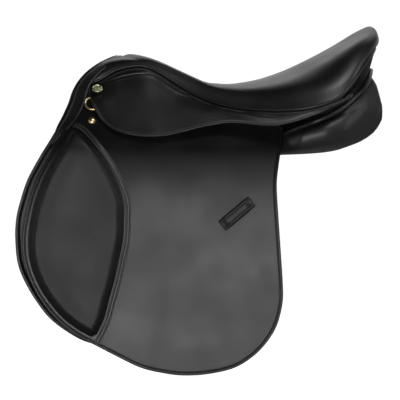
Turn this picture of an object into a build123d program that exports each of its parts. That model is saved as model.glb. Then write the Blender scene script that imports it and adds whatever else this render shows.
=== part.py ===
"""A general purpose English saddle, size 17 inch, as an assembly of separate pieces.

Millimetres. +X points to the cantle, -X to the pommel, +Z up, and the saddle is the same on both sides
of Y = 0. The near (left) side is at -Y. The origin is on the centre plane, under the deepest point of the
seat, level with the underside of the panel where the saddle rests on a back or a rack.
"""

import math
import os

from build123d import *

# Driving dimensions
LEATHER = 4.0  # flap and sweat flap leather
THIN_LEATHER = 3.0  # skirt leather
COVER = 2.6  # seat cover leather
HINGE_Z = 14.0  # height of the line where a lifted flap bends
HINGE_W = 118.0  # distance of the hanging flap's outside from the centre plane
TOP_SPREAD = 0.687  # above that line, how far the flap leans outward for each mm down
BEND_GAP = 3.0  # height left free for the bend
PANEL_GAP = 22.0  # flap's outside to the sweat flap's outside
LOW_Z, HIGH_Z = -352.0, 125.0  # the flap planes run between these heights
REACH = 420.0  # longer than any piece is wide

BILLET_WIDTH, BILLET_THICK = 28.0, 4.0
BILLET_X = {"front": -66.0, "middle": -18.0, "rear": 30.0}
BILLET_TOP, BILLET_END = 12.0, -290.0  # heights of the two ends
BILLET_HOLE_R = 2.75
BILLET_HOLES, BILLET_PITCH, FIRST_HOLE = 8, 22.0, -112.0
BILLET_DEPTH = {"front": 14.8, "middle": 10.3, "rear": 14.8}  # under the flap's outside

WELT_R = 2.2
PIPING_R = 4.0
CHANNEL_HALF = 34.0  # half the width of the gullet between the two panels
TOP_ANGLE = math.atan(TOP_SPREAD)


def near(x, w, z):
    """A point on the near side, w mm out from the centre plane."""
    return (x, -w, z)


# The outside of the near flap: HANG below its bend, with X and Z as they are, and TOP above it, with Y up
# the slope.
HANG = Plane.XZ.offset(HINGE_W)
TOP = Plane(
    origin=near(0, HINGE_W, HINGE_Z),
    x_dir=(1, 0, 0),
    z_dir=(0, -math.cos(TOP_ANGLE), math.sin(TOP_ANGLE)),
)


def save(label, part):
    part.label = label
    export_step(part, f"parts/{label}.step")


def save_pair(label, part):
    """Writes a near side piece and its mirror image on the off side."""
    save(f"near_{label}", part)
    with BuildPart() as off_side:
        mirror(part, about=Plane.XZ)
    save(f"off_{label}", off_side.part)


# ---------------------------------------------------------------- outlines, as (x, z)

FLAP_EDGE = [
    (-214, 113), (-231, 66), (-262, 12), (-295, -52), (-311, -130), (-300, -192), (-256, -256),
    (-200, -292), (-130, -327), (-59, -338.7), (14, -327), (63, -288), (86, -235), (88, -190),
    (81, -90), (79, -40), (87, 15), (90, 42),
]
FLAP_TOP_EDGE = [(90, 42), (60, 50), (-165, 59), (-190, 92), (-214, 113)]

SWEAT_EDGE = [
    (-249, 60), (-262, 36), (-294, -20), (-316, -76), (-322.4, -128), (-318, -169), (-302, -206),
    (-277, -243), (-228, -281), (-190, -299), (-120, -316), (-50, -316), (20, -296), (56, -250),
    (62, -170), (60, -60), (64, 20),
]
SWEAT_TOP_EDGE = [(64, 20), (-196, 20), (-228, 44), (-249, 60)]

PAD_TOP = 2.0
PAD_FRONT = [(-250, PAD_TOP), (-280, -48), (-301, -125), (-290, -190), (-250, -246), (-207, -280)]
PAD_REAR = [(-207, -280), (-178, -212), (-159, -140), (-153, -85), (-160, -35), (-181, PAD_TOP)]
PAD_THICK = 9.5
STRIP_LINE = [(-172, 4), (-149, -40), (-143, -85), (-149, -140), (-168, -212), (-196, -286)]
STRIP_HALF, STRIP_THICK = 3.4, 1.6

SKIRT_EDGE = [
    (3, 57), (-3, 49), (-20, 45), (-62, 35.7), (-91.5, 29.5), (-121, 28), (-150, 31.6), (-172, 40), (-190, 55),
    (-200, 80),
]

# Stations of the seat along X: half width and height of the seam, height of the top, underside at the middle.
SEAT_STATIONS = [
    (-212, 46, 110, 116, 108),
    (-190, 49, 119, 136, 120),
    (-165, 53, 132, 152, 143),
    (-135, 57, 138, 156, 144),
    (-100, 62, 127.5, 142.5, 124),
    (-50, 76, 96, 116.5, 96),
    (0, 98, 78, 110, 86),
    (50, 123, 70, 117.5, 90),
    (100, 139, 69.5, 135.5, 102),
    (140, 144, 75, 155, 118),
    (180, 132, 96, 178, 138),
    (210, 103, 137, 194, 158),
    (228, 62, 160, 199, 171),
    (236, 24, 170, 190, 178),
]
# The cut-back notch in the front of the seat, as (x, y).
CUTBACK = [(-214, 46), (-190, 35), (-158, 0), (-190, -35), (-214, -46)]

# Stations of the near panel along X: (w, z) from the top of the channel, round the outside, to its foot.
PANEL_STATIONS = [
    (-212, [(38, 84), (43, 72), (56, 30), (64, -10), (60, -20), (48, 4)]),
    (-170, [(34, 88), (39, 80), (55, 30), (66, -18), (58, -28), (40, 10)]),
    (-110, [(35, 74), (48, 69), (70, 36), (85, -10), (72, -18), (36, 12)]),
    (-40, [(35, 62), (52, 60), (74, 38), (86, 0), (74, -8), (35, 10)]),
    (30, [(35, 54), (54, 54), (76, 38), (85, 8), (74, -2), (35, 10)]),
    (66, [(35, 52), (58, 52), (80, 32), (86, 8), (77, 0), (35, 10)]),
    (94, [(35, 53), (60, 54), (94, 36), (101, 14), (80, 1), (35, 11)]),
    (130, [(35, 53), (66, 54), (112, 38), (120, 14), (82, 2), (35, 14)]),
    (175, [(35, 66), (64, 69), (106, 54), (114, 26), (82, 9), (35, 26)]),
    (212, [(35, 92), (58, 96), (82, 84), (90, 50), (70, 25), (35, 44)]),
    (238, [(40, 86), (50, 89), (64, 78), (68, 62), (58, 48), (40, 56)]),
]


# ---------------------------------------------------------------- helpers

def flap_width(z, depth):
    """Distance from the centre plane, depth mm inside the outside of the flap."""
    return HINGE_W - depth - max(0.0, z - HINGE_Z) * TOP_SPREAD


def hung_layer(depth, thickness):
    """A bent layer of leather that hangs depth mm inside the outside of the near flap, over its whole height."""
    heights = (HIGH_Z, HINGE_Z, LOW_Z)
    outside = [(-flap_width(z, depth), z) for z in heights]
    inside = [(-flap_width(z, depth + thickness), z) for z in reversed(heights)]
    with BuildPart() as layer:
        with BuildSketch(Plane.YZ.offset(-REACH)):
            with BuildLine():
                Polyline(*outside, *inside, close=True)
            make_face()
        extrude(amount=2 * REACH)
    return layer.part


def hung_sheet(edge, closing, depth, thickness):
    """A sheet cut from a bent layer on the near side: a smooth edge, closed by straight runs."""
    with BuildPart() as sheet:
        add(hung_layer(depth, thickness))
        with BuildSketch(Plane.XZ):
            with BuildLine():
                Spline(*edge)
                Polyline(*closing)
            make_face()
        extrude(amount=REACH, mode=Mode.INTERSECT)
    return sheet.part


def tube(points, radius):
    """A round welt along a smooth line."""
    with BuildPart() as welt:
        with BuildLine() as line:
            Spline(*points)
        with BuildSketch(Plane(origin=line.line @ 0, z_dir=line.line % 0)):
            Circle(radius)
        sweep()
    return welt.part


def rail_loft(stations):
    """A bar on the near side through rectangles (x, w, z, width, height)."""
    with BuildPart() as bar:
        for x, w, z, width, height in stations:
            with BuildSketch(Plane.YZ.offset(x)):
                with Locations((-w, z)):
                    Rectangle(width, height)
        loft(ruled=True)
    return bar.part


def both_sides(*parts):
    """One node with the near side solids and their mirror images."""
    with BuildPart() as group:
        for part in parts:
            add(part)
        mirror(about=Plane.XZ)
    return group.part


# ---------------------------------------------------------------- seat

def crown(w, z_seam, z_top):
    """The curve of the seat across the saddle at one station."""
    rise = z_top - z_seam
    half = [(w, z_seam), (0.93 * w, z_seam + 0.46 * rise), (0.62 * w, z_seam + 0.9 * rise)]
    return [(-y, z) for y, z in half] + [(0, z_top)] + half[::-1]


def notch():
    """What the cut-back pommel leaves out of the seat."""
    with BuildPart() as cut:
        with BuildSketch(Plane.XY.offset(60)):
            with BuildLine():
                Spline(*CUTBACK)
                Polyline(CUTBACK[-1], (-260, -46), (-260, 46), CUTBACK[0])
            make_face()
        extrude(amount=120)
    return cut.part


def seat_cover():
    with BuildPart() as cover:
        for x, w, z_seam, z_top, _ in SEAT_STATIONS:
            with BuildSketch(Plane.YZ.offset(x)):
                with BuildLine():
                    Spline(*crown(w, z_seam, z_top))
                    Line((w, z_seam), (w - COVER, z_seam))
                    Spline(*reversed(crown(w - COVER, z_seam, z_top - COVER)))
                    Line((COVER - w, z_seam), (-w, z_seam))
                make_face()
        loft()
        add(notch(), mode=Mode.SUBTRACT)
    return cover.part


def seat_foam():
    with BuildPart() as foam:
        for x, w, z_seam, z_top, z_mid in SEAT_STATIONS:
            w, z_top = w - COVER, z_top - COVER
            under = [(0.8 * w, z_seam), (0.52 * w, z_mid - 2), (0, z_mid)]
            with BuildSketch(Plane.YZ.offset(x)):
                with BuildLine():
                    Spline(*crown(w, z_seam, z_top))
                    Polyline((w, z_seam), *under, *[(-y, z) for y, z in under[1::-1]], (-w, z_seam))
                make_face()
        loft()
        for hard_piece in (notch(), cantle_board(), cantle_facing()):
            add(hard_piece, mode=Mode.SUBTRACT)
    return foam.part


def seat_welt():
    """The welt that is sewn between the seat cover and the near skirt."""
    line = [near(x, w + 1, z_seam - 2.6) for x, w, z_seam, _, _ in SEAT_STATIONS[:-3]]
    return tube(line, WELT_R)


# The rim of the cantle lies in one sloping plane; its local axes are Y and the slope.
RIM = Plane(origin=(170, 0, 84), x_dir=(0, 1, 0), z_dir=(0.795, 0, -0.606))


def cantle_board():
    """The laminated wooden arch behind the seat."""
    with BuildPart() as board:
        with BuildSketch(RIM.offset(-10)):
            with BuildLine():
                Spline((-112, 2), (-98, 42), (-62, 78), (0, 92), (62, 78), (98, 42), (112, 2))
                Line((112, 2), (84, 2))
                Spline((84, 2), (70, 32), (40, 52), (0, 58), (-40, 52), (-70, 32), (-84, 2))
                Line((-84, 2), (-112, 2))
            make_face()
        extrude(amount=8)
    return board.part


def cantle_facing():
    """The leather band that covers the back of the cantle, from its rim down to the panel."""
    near_rim = [(170, 132), (197, 114), (214, 88), (226, 50), (230, 0)]
    rim = near_rim + [(x, -y) for x, y in reversed(near_rim[:-1])]
    back = [(x - 3, y * 0.975) for x, y in reversed(rim)]
    with BuildPart() as facing:
        with BuildSketch(Plane.XY.offset(90)):
            with BuildLine():
                Spline(*rim)
                Line(rim[-1], back[0])
                Spline(*back)
                Line(back[-1], rim[0])
            make_face()
        extrude(amount=90)
        with BuildSketch(Plane.YZ.offset(150)):
            with BuildLine():
                Spline((-116, 112), (-92, 139), (-50, 157), (0, 163), (50, 157), (92, 139), (116, 112))
                Line((116, 112), (110, 104))
                Spline((110, 104), (86, 120), (50, 136), (0, 141), (-50, 136), (-86, 120), (-110, 104))
                Line((-110, 104), (-116, 112))
            make_face()
        extrude(amount=100, mode=Mode.INTERSECT)
    return facing.part


# ---------------------------------------------------------------- tree

RAIL_STATIONS = [
    (-200, 36, 99, 16, 10),
    (-160, 36, 102, 20, 12),
    (-110, 40, 92, 22, 12),
    (-60, 46, 84, 22, 12),
    (0, 76, 69, 30, 10),
    (60, 96, 61, 34, 10),
    (120, 104, 61, 34, 10),
    (165, 96, 78, 26, 10),
    (180, 97, 90, 24, 10),
]
SPRING_THICK = 2.0
POINT_TOP, POINT_END = (44, 98), (80, -8)  # middle of the tree point, as (w, z)
HEAD_FROM, HEAD_TO = -168.0, -157.0


def arch(outer, inner, x_from, x_to):
    """An arch across the saddle between two arcs, each (half width, side height, top height)."""
    (outer_w, outer_side, outer_top), (inner_w, inner_side, inner_top) = outer, inner
    with BuildPart() as band:
        with BuildSketch(Plane.YZ.offset(x_from)):
            with BuildLine():
                ThreePointArc((-outer_w, outer_side), (0, outer_top), (outer_w, outer_side))
                Line((outer_w, outer_side), (inner_w, inner_side))
                ThreePointArc((inner_w, inner_side), (0, inner_top), (-inner_w, inner_side))
                Line((-inner_w, inner_side), (-outer_w, outer_side))
            make_face()
        extrude(amount=x_to - x_from)
    return band.part


def tree_frame():
    """The laminated beech tree: two rails, the head arch and the cantle."""
    rails = both_sides(rail_loft(RAIL_STATIONS))
    with BuildPart() as frame:
        add(rails)
        add(arch((44, 100, 133), (30, 96, 121), HEAD_FROM, HEAD_TO))
        add(cantle_board())
    return frame.part


def tree_springs():
    """Flat steel springs that lie along the top of the rails."""
    half = SPRING_THICK / 2
    stations = [
        (x, w, z + height / 2 + half, width - 8, SPRING_THICK) for x, w, z, width, height in RAIL_STATIONS[2:-1]
    ]
    return both_sides(rail_loft(stations))


def tree_points():
    """The two steel points of the tree, from the head down into the point pockets."""
    (top_w, top_z), (end_w, end_z) = POINT_TOP, POINT_END
    with BuildPart() as point:
        with BuildSketch(Plane.YZ.offset(-205)):
            with BuildLine():
                Polyline(
                    (-top_w - 3, top_z - 5), (-top_w + 3, top_z - 5), (-end_w + 3, end_z), (-end_w - 3, end_z),
                    close=True,
                )
            make_face()
        extrude(amount=30)
    return both_sides(point.part)


def point_pocket():
    """The leather pocket on the panel that takes the end of the tree point."""
    with BuildPart() as pocket:
        with BuildSketch(Plane.YZ.offset(-211)):
            with BuildLine():
                Polyline((-72, 26), (-66, 26), (-76, -14), (-86.5, -14), (-86.5, -8), (-75.6, 26), close=True)
            make_face()
        extrude(amount=42)
        with BuildSketch(Plane.YZ.offset(-206)):
            with BuildLine():
                Polyline((-73.4, 30), (-62, 30), (-74.6, -9), (-84, -9), close=True)
            make_face()
        extrude(amount=32, mode=Mode.SUBTRACT)
    return pocket.part


def seat_webbing():
    """The strained web along the middle of the tree, with two cross webs over the rails."""
    middle = [(-156, 138), (-100, 119), (-50, 90), (0, 80), (50, 84), (100, 95), (140, 110), (172, 126)]
    with BuildPart() as web:
        with BuildSketch(Plane.XZ.offset(-26)):
            with BuildLine():
                Spline(*middle)
                Line(middle[-1], (172, 128))
                Spline(*[(x, z + 2) for x, z in reversed(middle)])
                Line((-156, 140), middle[0])
            make_face()
        extrude(amount=52)
    return web.part


# The stirrup bar, in the top plane: x and v up the slope, and the height over the flap's outside.
PLATE_FROM, PLATE_TO = -7.0, -4.0
BAR_FROM, BAR_TO = 5.0, 9.5
BAR_V = 68.0
CATCH_X = -72.0
CATCH_PIN_R, CATCH_HOLE_R = 2.0, 2.15
RIVET_X, RIVET_V, RIVET_R = (-142.0, -78.0), 92.0, 2.5


def stirrup_bar():
    """The forged bar: a plate riveted to the tree, a front block, and the bar itself, open at the rear."""
    with BuildPart() as bar:
        with BuildSketch(TOP.offset(PLATE_FROM)):
            with Locations((-110, 78)):
                Rectangle(84, 44)
            with Locations(*[(x, RIVET_V) for x in RIVET_X]):
                Circle(RIVET_R, mode=Mode.SUBTRACT)
        extrude(amount=PLATE_TO - PLATE_FROM)
        with BuildSketch(TOP.offset(PLATE_TO)):
            with Locations((-145, BAR_V)):
                Rectangle(12, 16)
        extrude(amount=BAR_TO - PLATE_TO)
        with BuildSketch(TOP.offset(BAR_FROM)):
            with Locations((-111, BAR_V)):
                Rectangle(64, 11)
        extrude(amount=BAR_TO - BAR_FROM)
        with BuildSketch(TOP.offset(BAR_FROM)):
            with Locations((CATCH_X - 3.5, BAR_V)):
                Rectangle(9, 9)
        extrude(amount=2)
        with BuildSketch(TOP.offset(BAR_FROM + 2)):
            with Locations((CATCH_X, BAR_V)):
                Circle(CATCH_PIN_R)
        extrude(amount=3)
    return bar.part


def bar_rivets():
    with BuildPart() as rivets:
        with BuildSketch(TOP.offset(PLATE_FROM)):
            with Locations(*[(x, RIVET_V) for x in RIVET_X]):
                Circle(RIVET_R)
        extrude(amount=PLATE_TO - PLATE_FROM)
        with BuildSketch(TOP.offset(PLATE_TO)):
            with Locations(*[(x, RIVET_V) for x in RIVET_X]):
                Circle(RIVET_R + 2)
        extrude(amount=1.5, taper=25)
    return both_sides(rivets.part)


def bar_catch():
    """The thumb piece that closes the open end of the bar; it turns on the bar's pin."""
    with BuildPart() as catch:
        with BuildSketch(TOP.offset(BAR_FROM + 2.3)):
            with Locations((CATCH_X, BAR_V)):
                SlotCenterPoint((5, 0), (10, 0), 9)
                Circle(CATCH_HOLE_R, mode=Mode.SUBTRACT)
        extrude(amount=2.0)
    return catch.part


# ---------------------------------------------------------------- panel

def panel():
    """The near flocked cushion of the panel."""
    with BuildPart() as cushion:
        for x, ring in PANEL_STATIONS:
            with BuildSketch(Plane.YZ.offset(x)):
                with BuildLine():
                    Spline(*[(-w, z) for w, z in ring])
                    Line((-ring[-1][0], ring[-1][1]), (-ring[0][0], ring[0][1]))
                make_face()
        loft()
    return cushion.part


def channel_lining():
    """The leather that joins the two cushions along the top of the channel."""
    underside = [(-172, 92), (-110, 76), (-40, 58), (40, 51), (120, 58), (175, 76), (212, 100)]
    with BuildPart() as lining:
        with BuildSketch(Plane.XZ.offset(-CHANNEL_HALF + 1)):
            with BuildLine():
                Spline(*underside)
                Line(underside[-1], (212, 102))
                Spline(*[(x, z + 2) for x, z in reversed(underside)])
                Line((-172, 94), underside[0])
            make_face()
        extrude(amount=2 * CHANNEL_HALF - 2)
    return lining.part


def front_facing():
    """The padded roll round the front of the panel and over the cut-back pommel."""
    side = [(-162, 155), (-203, 138), (-229, 113), (-238, 82), (-246, 64)]
    side_inner = [(-234, 64), (-226, 80), (-214, 104), (-196, 126), (-162, 146)]
    with BuildPart() as facing:
        with BuildSketch(Plane.XZ.offset(-REACH / 2)):
            with BuildLine():
                Spline(*side)
                Line(side[-1], side_inner[0])
                Spline(*side_inner)
                Line(side_inner[-1], side[0])
            make_face()
        extrude(amount=REACH)
        with BuildSketch(Plane.XY):
            with BuildLine():
                Spline((-262, 74), (-240, 60), (-214, 45), (-190.5, 34), (-159, 0), (-190.5, -34), (-214, -45),
                       (-240, -60), (-262, -74))
                Line((-262, -74), (-268, -66))
                Spline((-268, -66), (-246, -50), (-220, -34), (-197, -22), (-172, 0), (-197, 22), (-220, 34),
                       (-246, 50), (-268, 66))
                Line((-268, 66), (-262, 74))
            make_face()
        extrude(amount=200, mode=Mode.INTERSECT)
    return facing.part


PIPING_LINE = [
    (96, 120, 34), (132, 128, 47), (163, 126, 59), (186, 114, 74), (204, 92, 93), (217, 58, 116), (223, 0, 131),
]


def rear_piping():
    """The roll between the cantle and the panel, right round the back."""
    near_line = [near(*p) for p in PIPING_LINE]
    off_line = [(x, -y, z) for x, y, z in reversed(near_line[:-1])]
    return tube(near_line + off_line, PIPING_R)


# ---------------------------------------------------------------- flaps

def lower_half(part):
    with BuildPart() as half:
        add(part)
        split(bisect_by=Plane.XY.offset(HINGE_Z - BEND_GAP / 2), keep=Keep.BOTTOM)
    return half.part


def upper_half(part):
    with BuildPart() as half:
        add(part)
        split(bisect_by=Plane.XY.offset(HINGE_Z + BEND_GAP / 2), keep=Keep.TOP)
    return half.part


def knee_pad():
    """The padded leaf on the front of the flap."""
    with BuildPart() as pad:
        with BuildSketch(HANG):
            with BuildLine():
                Spline(*PAD_FRONT)
                Spline(*PAD_REAR)
                Line(PAD_REAR[-1], PAD_FRONT[0])
            make_face()
        extrude(amount=PAD_THICK)
    return pad.part


def knee_strip():
    """The double-stitched strip behind the knee pad."""
    front = [(x - STRIP_HALF, z) for x, z in STRIP_LINE]
    rear = [(x + STRIP_HALF, z) for x, z in reversed(STRIP_LINE)]
    with BuildPart() as strip:
        with BuildSketch(HANG):
            with BuildLine():
                Spline(*front)
                Line(front[-1], rear[0])
                Spline(*rear)
                Line(rear[-1], front[0])
            make_face()
        extrude(amount=STRIP_THICK)
    return strip.part


KEEPER_X, KEEPER_Z = 17.8, -90.5
KEEPER_LENGTH, KEEPER_WIDTH, KEEPER_ANGLE = 60.0, 17.5, 40.0
KEEPER_RISE, KEEPER_THICK = 4.6, 2.2


def leather_keeper():
    """The strip that holds the loose end of the stirrup leather, sewn down at both ends."""
    with BuildPart() as keeper:
        with BuildSketch(HANG):
            with Locations(Location((KEEPER_X, KEEPER_Z), KEEPER_ANGLE)):
                Rectangle(KEEPER_LENGTH, KEEPER_WIDTH)
        extrude(amount=KEEPER_RISE + KEEPER_THICK)
        with BuildSketch(HANG):
            with Locations(Location((KEEPER_X, KEEPER_Z), KEEPER_ANGLE)):
                Rectangle(KEEPER_LENGTH - 10, KEEPER_WIDTH)
        extrude(amount=KEEPER_RISE, mode=Mode.SUBTRACT)
    return keeper.part


# ---------------------------------------------------------------- skirts

# Stations of the near skirt's sewn part: x, then width and height of its top edge, then of its lower edge.
SKIRT_TOP_STATIONS = [
    (-203, 58, 108, 80.3, 88),
    (-170, 61, 122, 86.0, 84.2),
    (-132, 66, 126, 92.5, 79.7),
    (-90, 73, 110, 99.6, 74.8),
    (-50, 83, 88, 106.5, 70.2),
    (-4, 105, 72, 114.4, 64.8),
    (30, 119, 64, 122, 48),
    (70, 135, 62, 136, 44),
    (110, 146, 63, 143, 47),
    (145, 149, 68, 144, 57),
    (172, 143, 80, 137, 70),
]
# The fold of the skirt runs from the front to the rear point; the third point is on its lower edge.
SKIRT_FOLD = ((-205, 80, 86.5), (0, 115, 62.5))
SKIRT_LOW = (-110, 123, 29)
FOLD_GAP = 2.2


def skirt_top():
    """The sewn part of the near skirt, from the seam down to its fold, and back to the cantle."""
    with BuildPart() as top:
        for x, w_seam, z_seam, w_low, z_low in SKIRT_TOP_STATIONS:
            with BuildSketch(Plane.YZ.offset(x)):
                with BuildLine():
                    Polyline(
                        (-w_seam, z_seam), (-w_low, z_low), (-w_low + THIN_LEATHER, z_low),
                        (-w_seam + THIN_LEATHER, z_seam), close=True,
                    )
                make_face()
        loft()
    return top.part


def skirt():
    """The loose part of the near skirt, which lifts to reach the stirrup bar."""
    fold_front, fold_rear, low = (Vector(*near(*p)) for p in (*SKIRT_FOLD, SKIRT_LOW))
    along = (fold_rear - fold_front).normalized()
    outside = Plane(origin=fold_front, x_dir=along, z_dir=(low - fold_front).cross(along))
    with BuildPart() as leaf:
        with BuildSketch(outside.offset(-THIN_LEATHER)):
            with Locations((0, -REACH / 2 - FOLD_GAP)):
                Rectangle(2 * REACH, REACH)
        extrude(amount=THIN_LEATHER)
        with BuildSketch(Plane.XZ):
            with BuildLine():
                Spline(*SKIRT_EDGE)
                Polyline(SKIRT_EDGE[-1], (-202, 100), (4, 80), SKIRT_EDGE[0])
            make_face()
        extrude(amount=REACH, mode=Mode.INTERSECT)
    return leaf.part


# ---------------------------------------------------------------- girth straps

def billet(name):
    """One near side girth strap with its row of holes and a tapered point."""
    half = BILLET_WIDTH / 2
    x = BILLET_X[name]
    with BuildPart() as strap:
        with BuildSketch(HANG.offset(-BILLET_DEPTH[name])):
            with BuildLine():
                Polyline(
                    (x - half, BILLET_TOP), (x + half, BILLET_TOP), (x + half, BILLET_END + 22), (x + 6, BILLET_END),
                    (x - 6, BILLET_END), (x - half, BILLET_END + 22), close=True,
                )
            make_face()
            with Locations(*[(x, FIRST_HOLE - BILLET_PITCH * i) for i in range(BILLET_HOLES)]):
                Circle(BILLET_HOLE_R, mode=Mode.SUBTRACT)
        extrude(amount=-BILLET_THICK)
    return strap.part


def girth_web(x, width, top):
    """Webbing from the tree rail down behind the top of the girth straps."""
    with BuildPart() as web:
        add(hung_layer(19.4, 1.9))
        with BuildSketch(Plane.XZ):
            with Locations((x, 2)):
                Rectangle(width, top - 2, align=(Align.CENTER, Align.MIN))
        extrude(amount=REACH, mode=Mode.INTERSECT)
    return web.part


GUARD_DEPTH, GUARD_THICK = 9.8, 2.6
LOOP_Z, LOOP_HEIGHT, LOOP_WALL = -34.0, 14.0, 1.7


def buckle_guard():
    """The flat leather guard over the girth buckles, which slides on the middle strap by a loop."""
    x = BILLET_X["middle"]
    slot_half = BILLET_WIDTH / 2 + 1.0
    slot_depth = BILLET_DEPTH["middle"] + BILLET_THICK + 0.4
    with BuildPart() as guard:
        with BuildSketch(HANG.offset(-GUARD_DEPTH)):
            with Locations((x, -56)):
                RectangleRounded(148, 72, 14)
        extrude(amount=GUARD_THICK)
        with BuildSketch(HANG.offset(-slot_depth - LOOP_WALL)):
            with Locations((x, LOOP_Z)):
                Rectangle(2 * slot_half + 4, LOOP_HEIGHT)
        extrude(amount=slot_depth + LOOP_WALL - GUARD_DEPTH)
        with BuildSketch(HANG.offset(-slot_depth)):
            with Locations((x, LOOP_Z)):
                Rectangle(2 * slot_half, LOOP_HEIGHT)
        extrude(amount=slot_depth - GUARD_DEPTH, mode=Mode.SUBTRACT)
    return guard.part


# ---------------------------------------------------------------- metal fittings

DEE_LEAN = 22.0  # the straight side leans this far from upright, in the top plane
DEE_R, DEE_WIRE_R = 11.5, 1.5
DEE_X, DEE_Z, DEE_LIFT = -204.0, 77.0, 3.2
NAIL_X, NAIL_Z = -204.6, 52.7
STUD_X, STUD_W, STUD_Z = -196.5, 73.0, 101.0


def on_flap(x, z, lift):
    """A plane parallel to the outside of the flap's top, lift mm out from it, at a side-view point."""
    return Plane(origin=near(x, flap_width(z, 0), z), x_dir=(1, 0, 0), z_dir=TOP.z_dir).offset(lift)


def dee_plane():
    """The dee's own plane, with Y along its straight side."""
    upright = on_flap(DEE_X, DEE_Z, DEE_LIFT)
    lean = math.radians(DEE_LEAN)
    across = upright.x_dir * math.cos(lean) + upright.y_dir * math.sin(lean)
    return Plane(origin=upright.origin, x_dir=across, z_dir=upright.z_dir)


def dee_ring():
    """A brass dee: a half ring and its straight side, lying against the flap."""
    flat = dee_plane()
    end = Plane(origin=flat.from_local_coords((0, DEE_R, 0)), x_dir=flat.y_dir, z_dir=flat.x_dir)
    side = Plane(origin=flat.from_local_coords((0, -DEE_R, 0)), x_dir=flat.x_dir, z_dir=flat.y_dir)
    with BuildPart() as dee:
        with BuildSketch(end):
            Circle(DEE_WIRE_R)
        revolve(axis=Axis(flat.origin, flat.z_dir), revolution_arc=180)
        with BuildSketch(side):
            Circle(DEE_WIRE_R)
        extrude(amount=2 * DEE_R)
    return dee.part


def dee_chape():
    """The folded leather tab that holds the dee's straight side."""
    flat = dee_plane()
    across = Plane(origin=flat.from_local_coords((0, -5, 0)), x_dir=flat.x_dir, z_dir=flat.y_dir)
    with BuildPart() as chape:
        with BuildSketch(across):
            Circle(DEE_WIRE_R + 1.6)
            with Locations((7, DEE_LIFT - 1.65)):
                Rectangle(14, 3.1)
            Circle(DEE_WIRE_R + 0.35, mode=Mode.SUBTRACT)
        extrude(amount=10)
    return chape.part


def head_nail():
    """The domed brass nail that holds the front of the flap to the tree."""
    with BuildPart() as nail:
        with BuildSketch(on_flap(NAIL_X, NAIL_Z, 0)):
            Circle(6.4)
        extrude(amount=1.2)
        with BuildSketch(on_flap(NAIL_X, NAIL_Z, 1.2)):
            Circle(5.2)
        extrude(amount=2.6, taper=35)
    return nail.part


def pommel_stud():
    """The round stud at the front of the seat, with a raised rim."""
    face = Plane(origin=near(STUD_X, STUD_W, STUD_Z), x_dir=(1, 0, 0), z_dir=TOP.z_dir)
    with BuildPart() as stud:
        with BuildSketch(face):
            Ellipse(8, 7)
        extrude(amount=2.4)
        with BuildSketch(face.offset(1.6)):
            Ellipse(6.4, 5.4)
        extrude(amount=0.8, mode=Mode.SUBTRACT)
    return stud.part


def build():
    os.makedirs("parts", exist_ok=True)
    save("tree_frame", tree_frame())
    save("tree_springs", tree_springs())
    save("tree_points", tree_points())
    save("head_plate", arch((42, 112, 132), (35, 112, 124), HEAD_FROM - 3, HEAD_FROM))
    save("gullet_plate", arch((25.5, 96, 117), (22.5, 96, 114), HEAD_FROM, HEAD_TO))
    save("seat_webbing", seat_webbing())
    save("bar_rivets", bar_rivets())
    save("seat_foam", seat_foam())
    save("seat_cover", seat_cover())
    save("cantle_facing", cantle_facing())
    save("channel_lining", channel_lining())
    save("front_facing", front_facing())
    save("rear_piping", rear_piping())

    flap = hung_sheet(FLAP_EDGE, FLAP_TOP_EDGE, 0, LEATHER)
    save_pair("flap", lower_half(flap))
    save_pair("flap_top", upper_half(flap))
    save_pair("sweat_flap", hung_sheet(SWEAT_EDGE, SWEAT_TOP_EDGE, PANEL_GAP, LEATHER))
    save_pair("knee_pad", knee_pad())
    save_pair("knee_strip", knee_strip())
    save_pair("leather_keeper", leather_keeper())
    save_pair("seat_welt", seat_welt())
    save_pair("skirt_top", skirt_top())
    save_pair("skirt", skirt())
    save_pair("panel", panel())
    save_pair("point_pocket", point_pocket())
    save_pair("stirrup_bar", stirrup_bar())
    save_pair("bar_catch", bar_catch())
    save_pair("dee_ring", dee_ring())
    save_pair("dee_chape", dee_chape())
    save_pair("head_nail", head_nail())
    save_pair("pommel_stud", pommel_stud())
    for name in BILLET_X:
        save_pair(f"{name}_billet", billet(name))
    save_pair("front_web", girth_web(BILLET_X["front"], 44, 74))
    save_pair("rear_web", girth_web((BILLET_X["middle"] + BILLET_X["rear"]) / 2, 78, 61))
    save_pair("buckle_guard", buckle_guard())


build()
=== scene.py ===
"""The looks of a black leather English saddle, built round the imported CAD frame.

Axes are the frame's own: +X to the cantle, -Y the near side, +Z up. Shapes are worked out in millimetres and
written in metres.
"""

import math

import bmesh
import bpy
import numpy as np
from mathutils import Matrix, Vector
from mathutils.bvhtree import BVHTree
from mathutils.geometry import delaunay_2d_cdt


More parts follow.
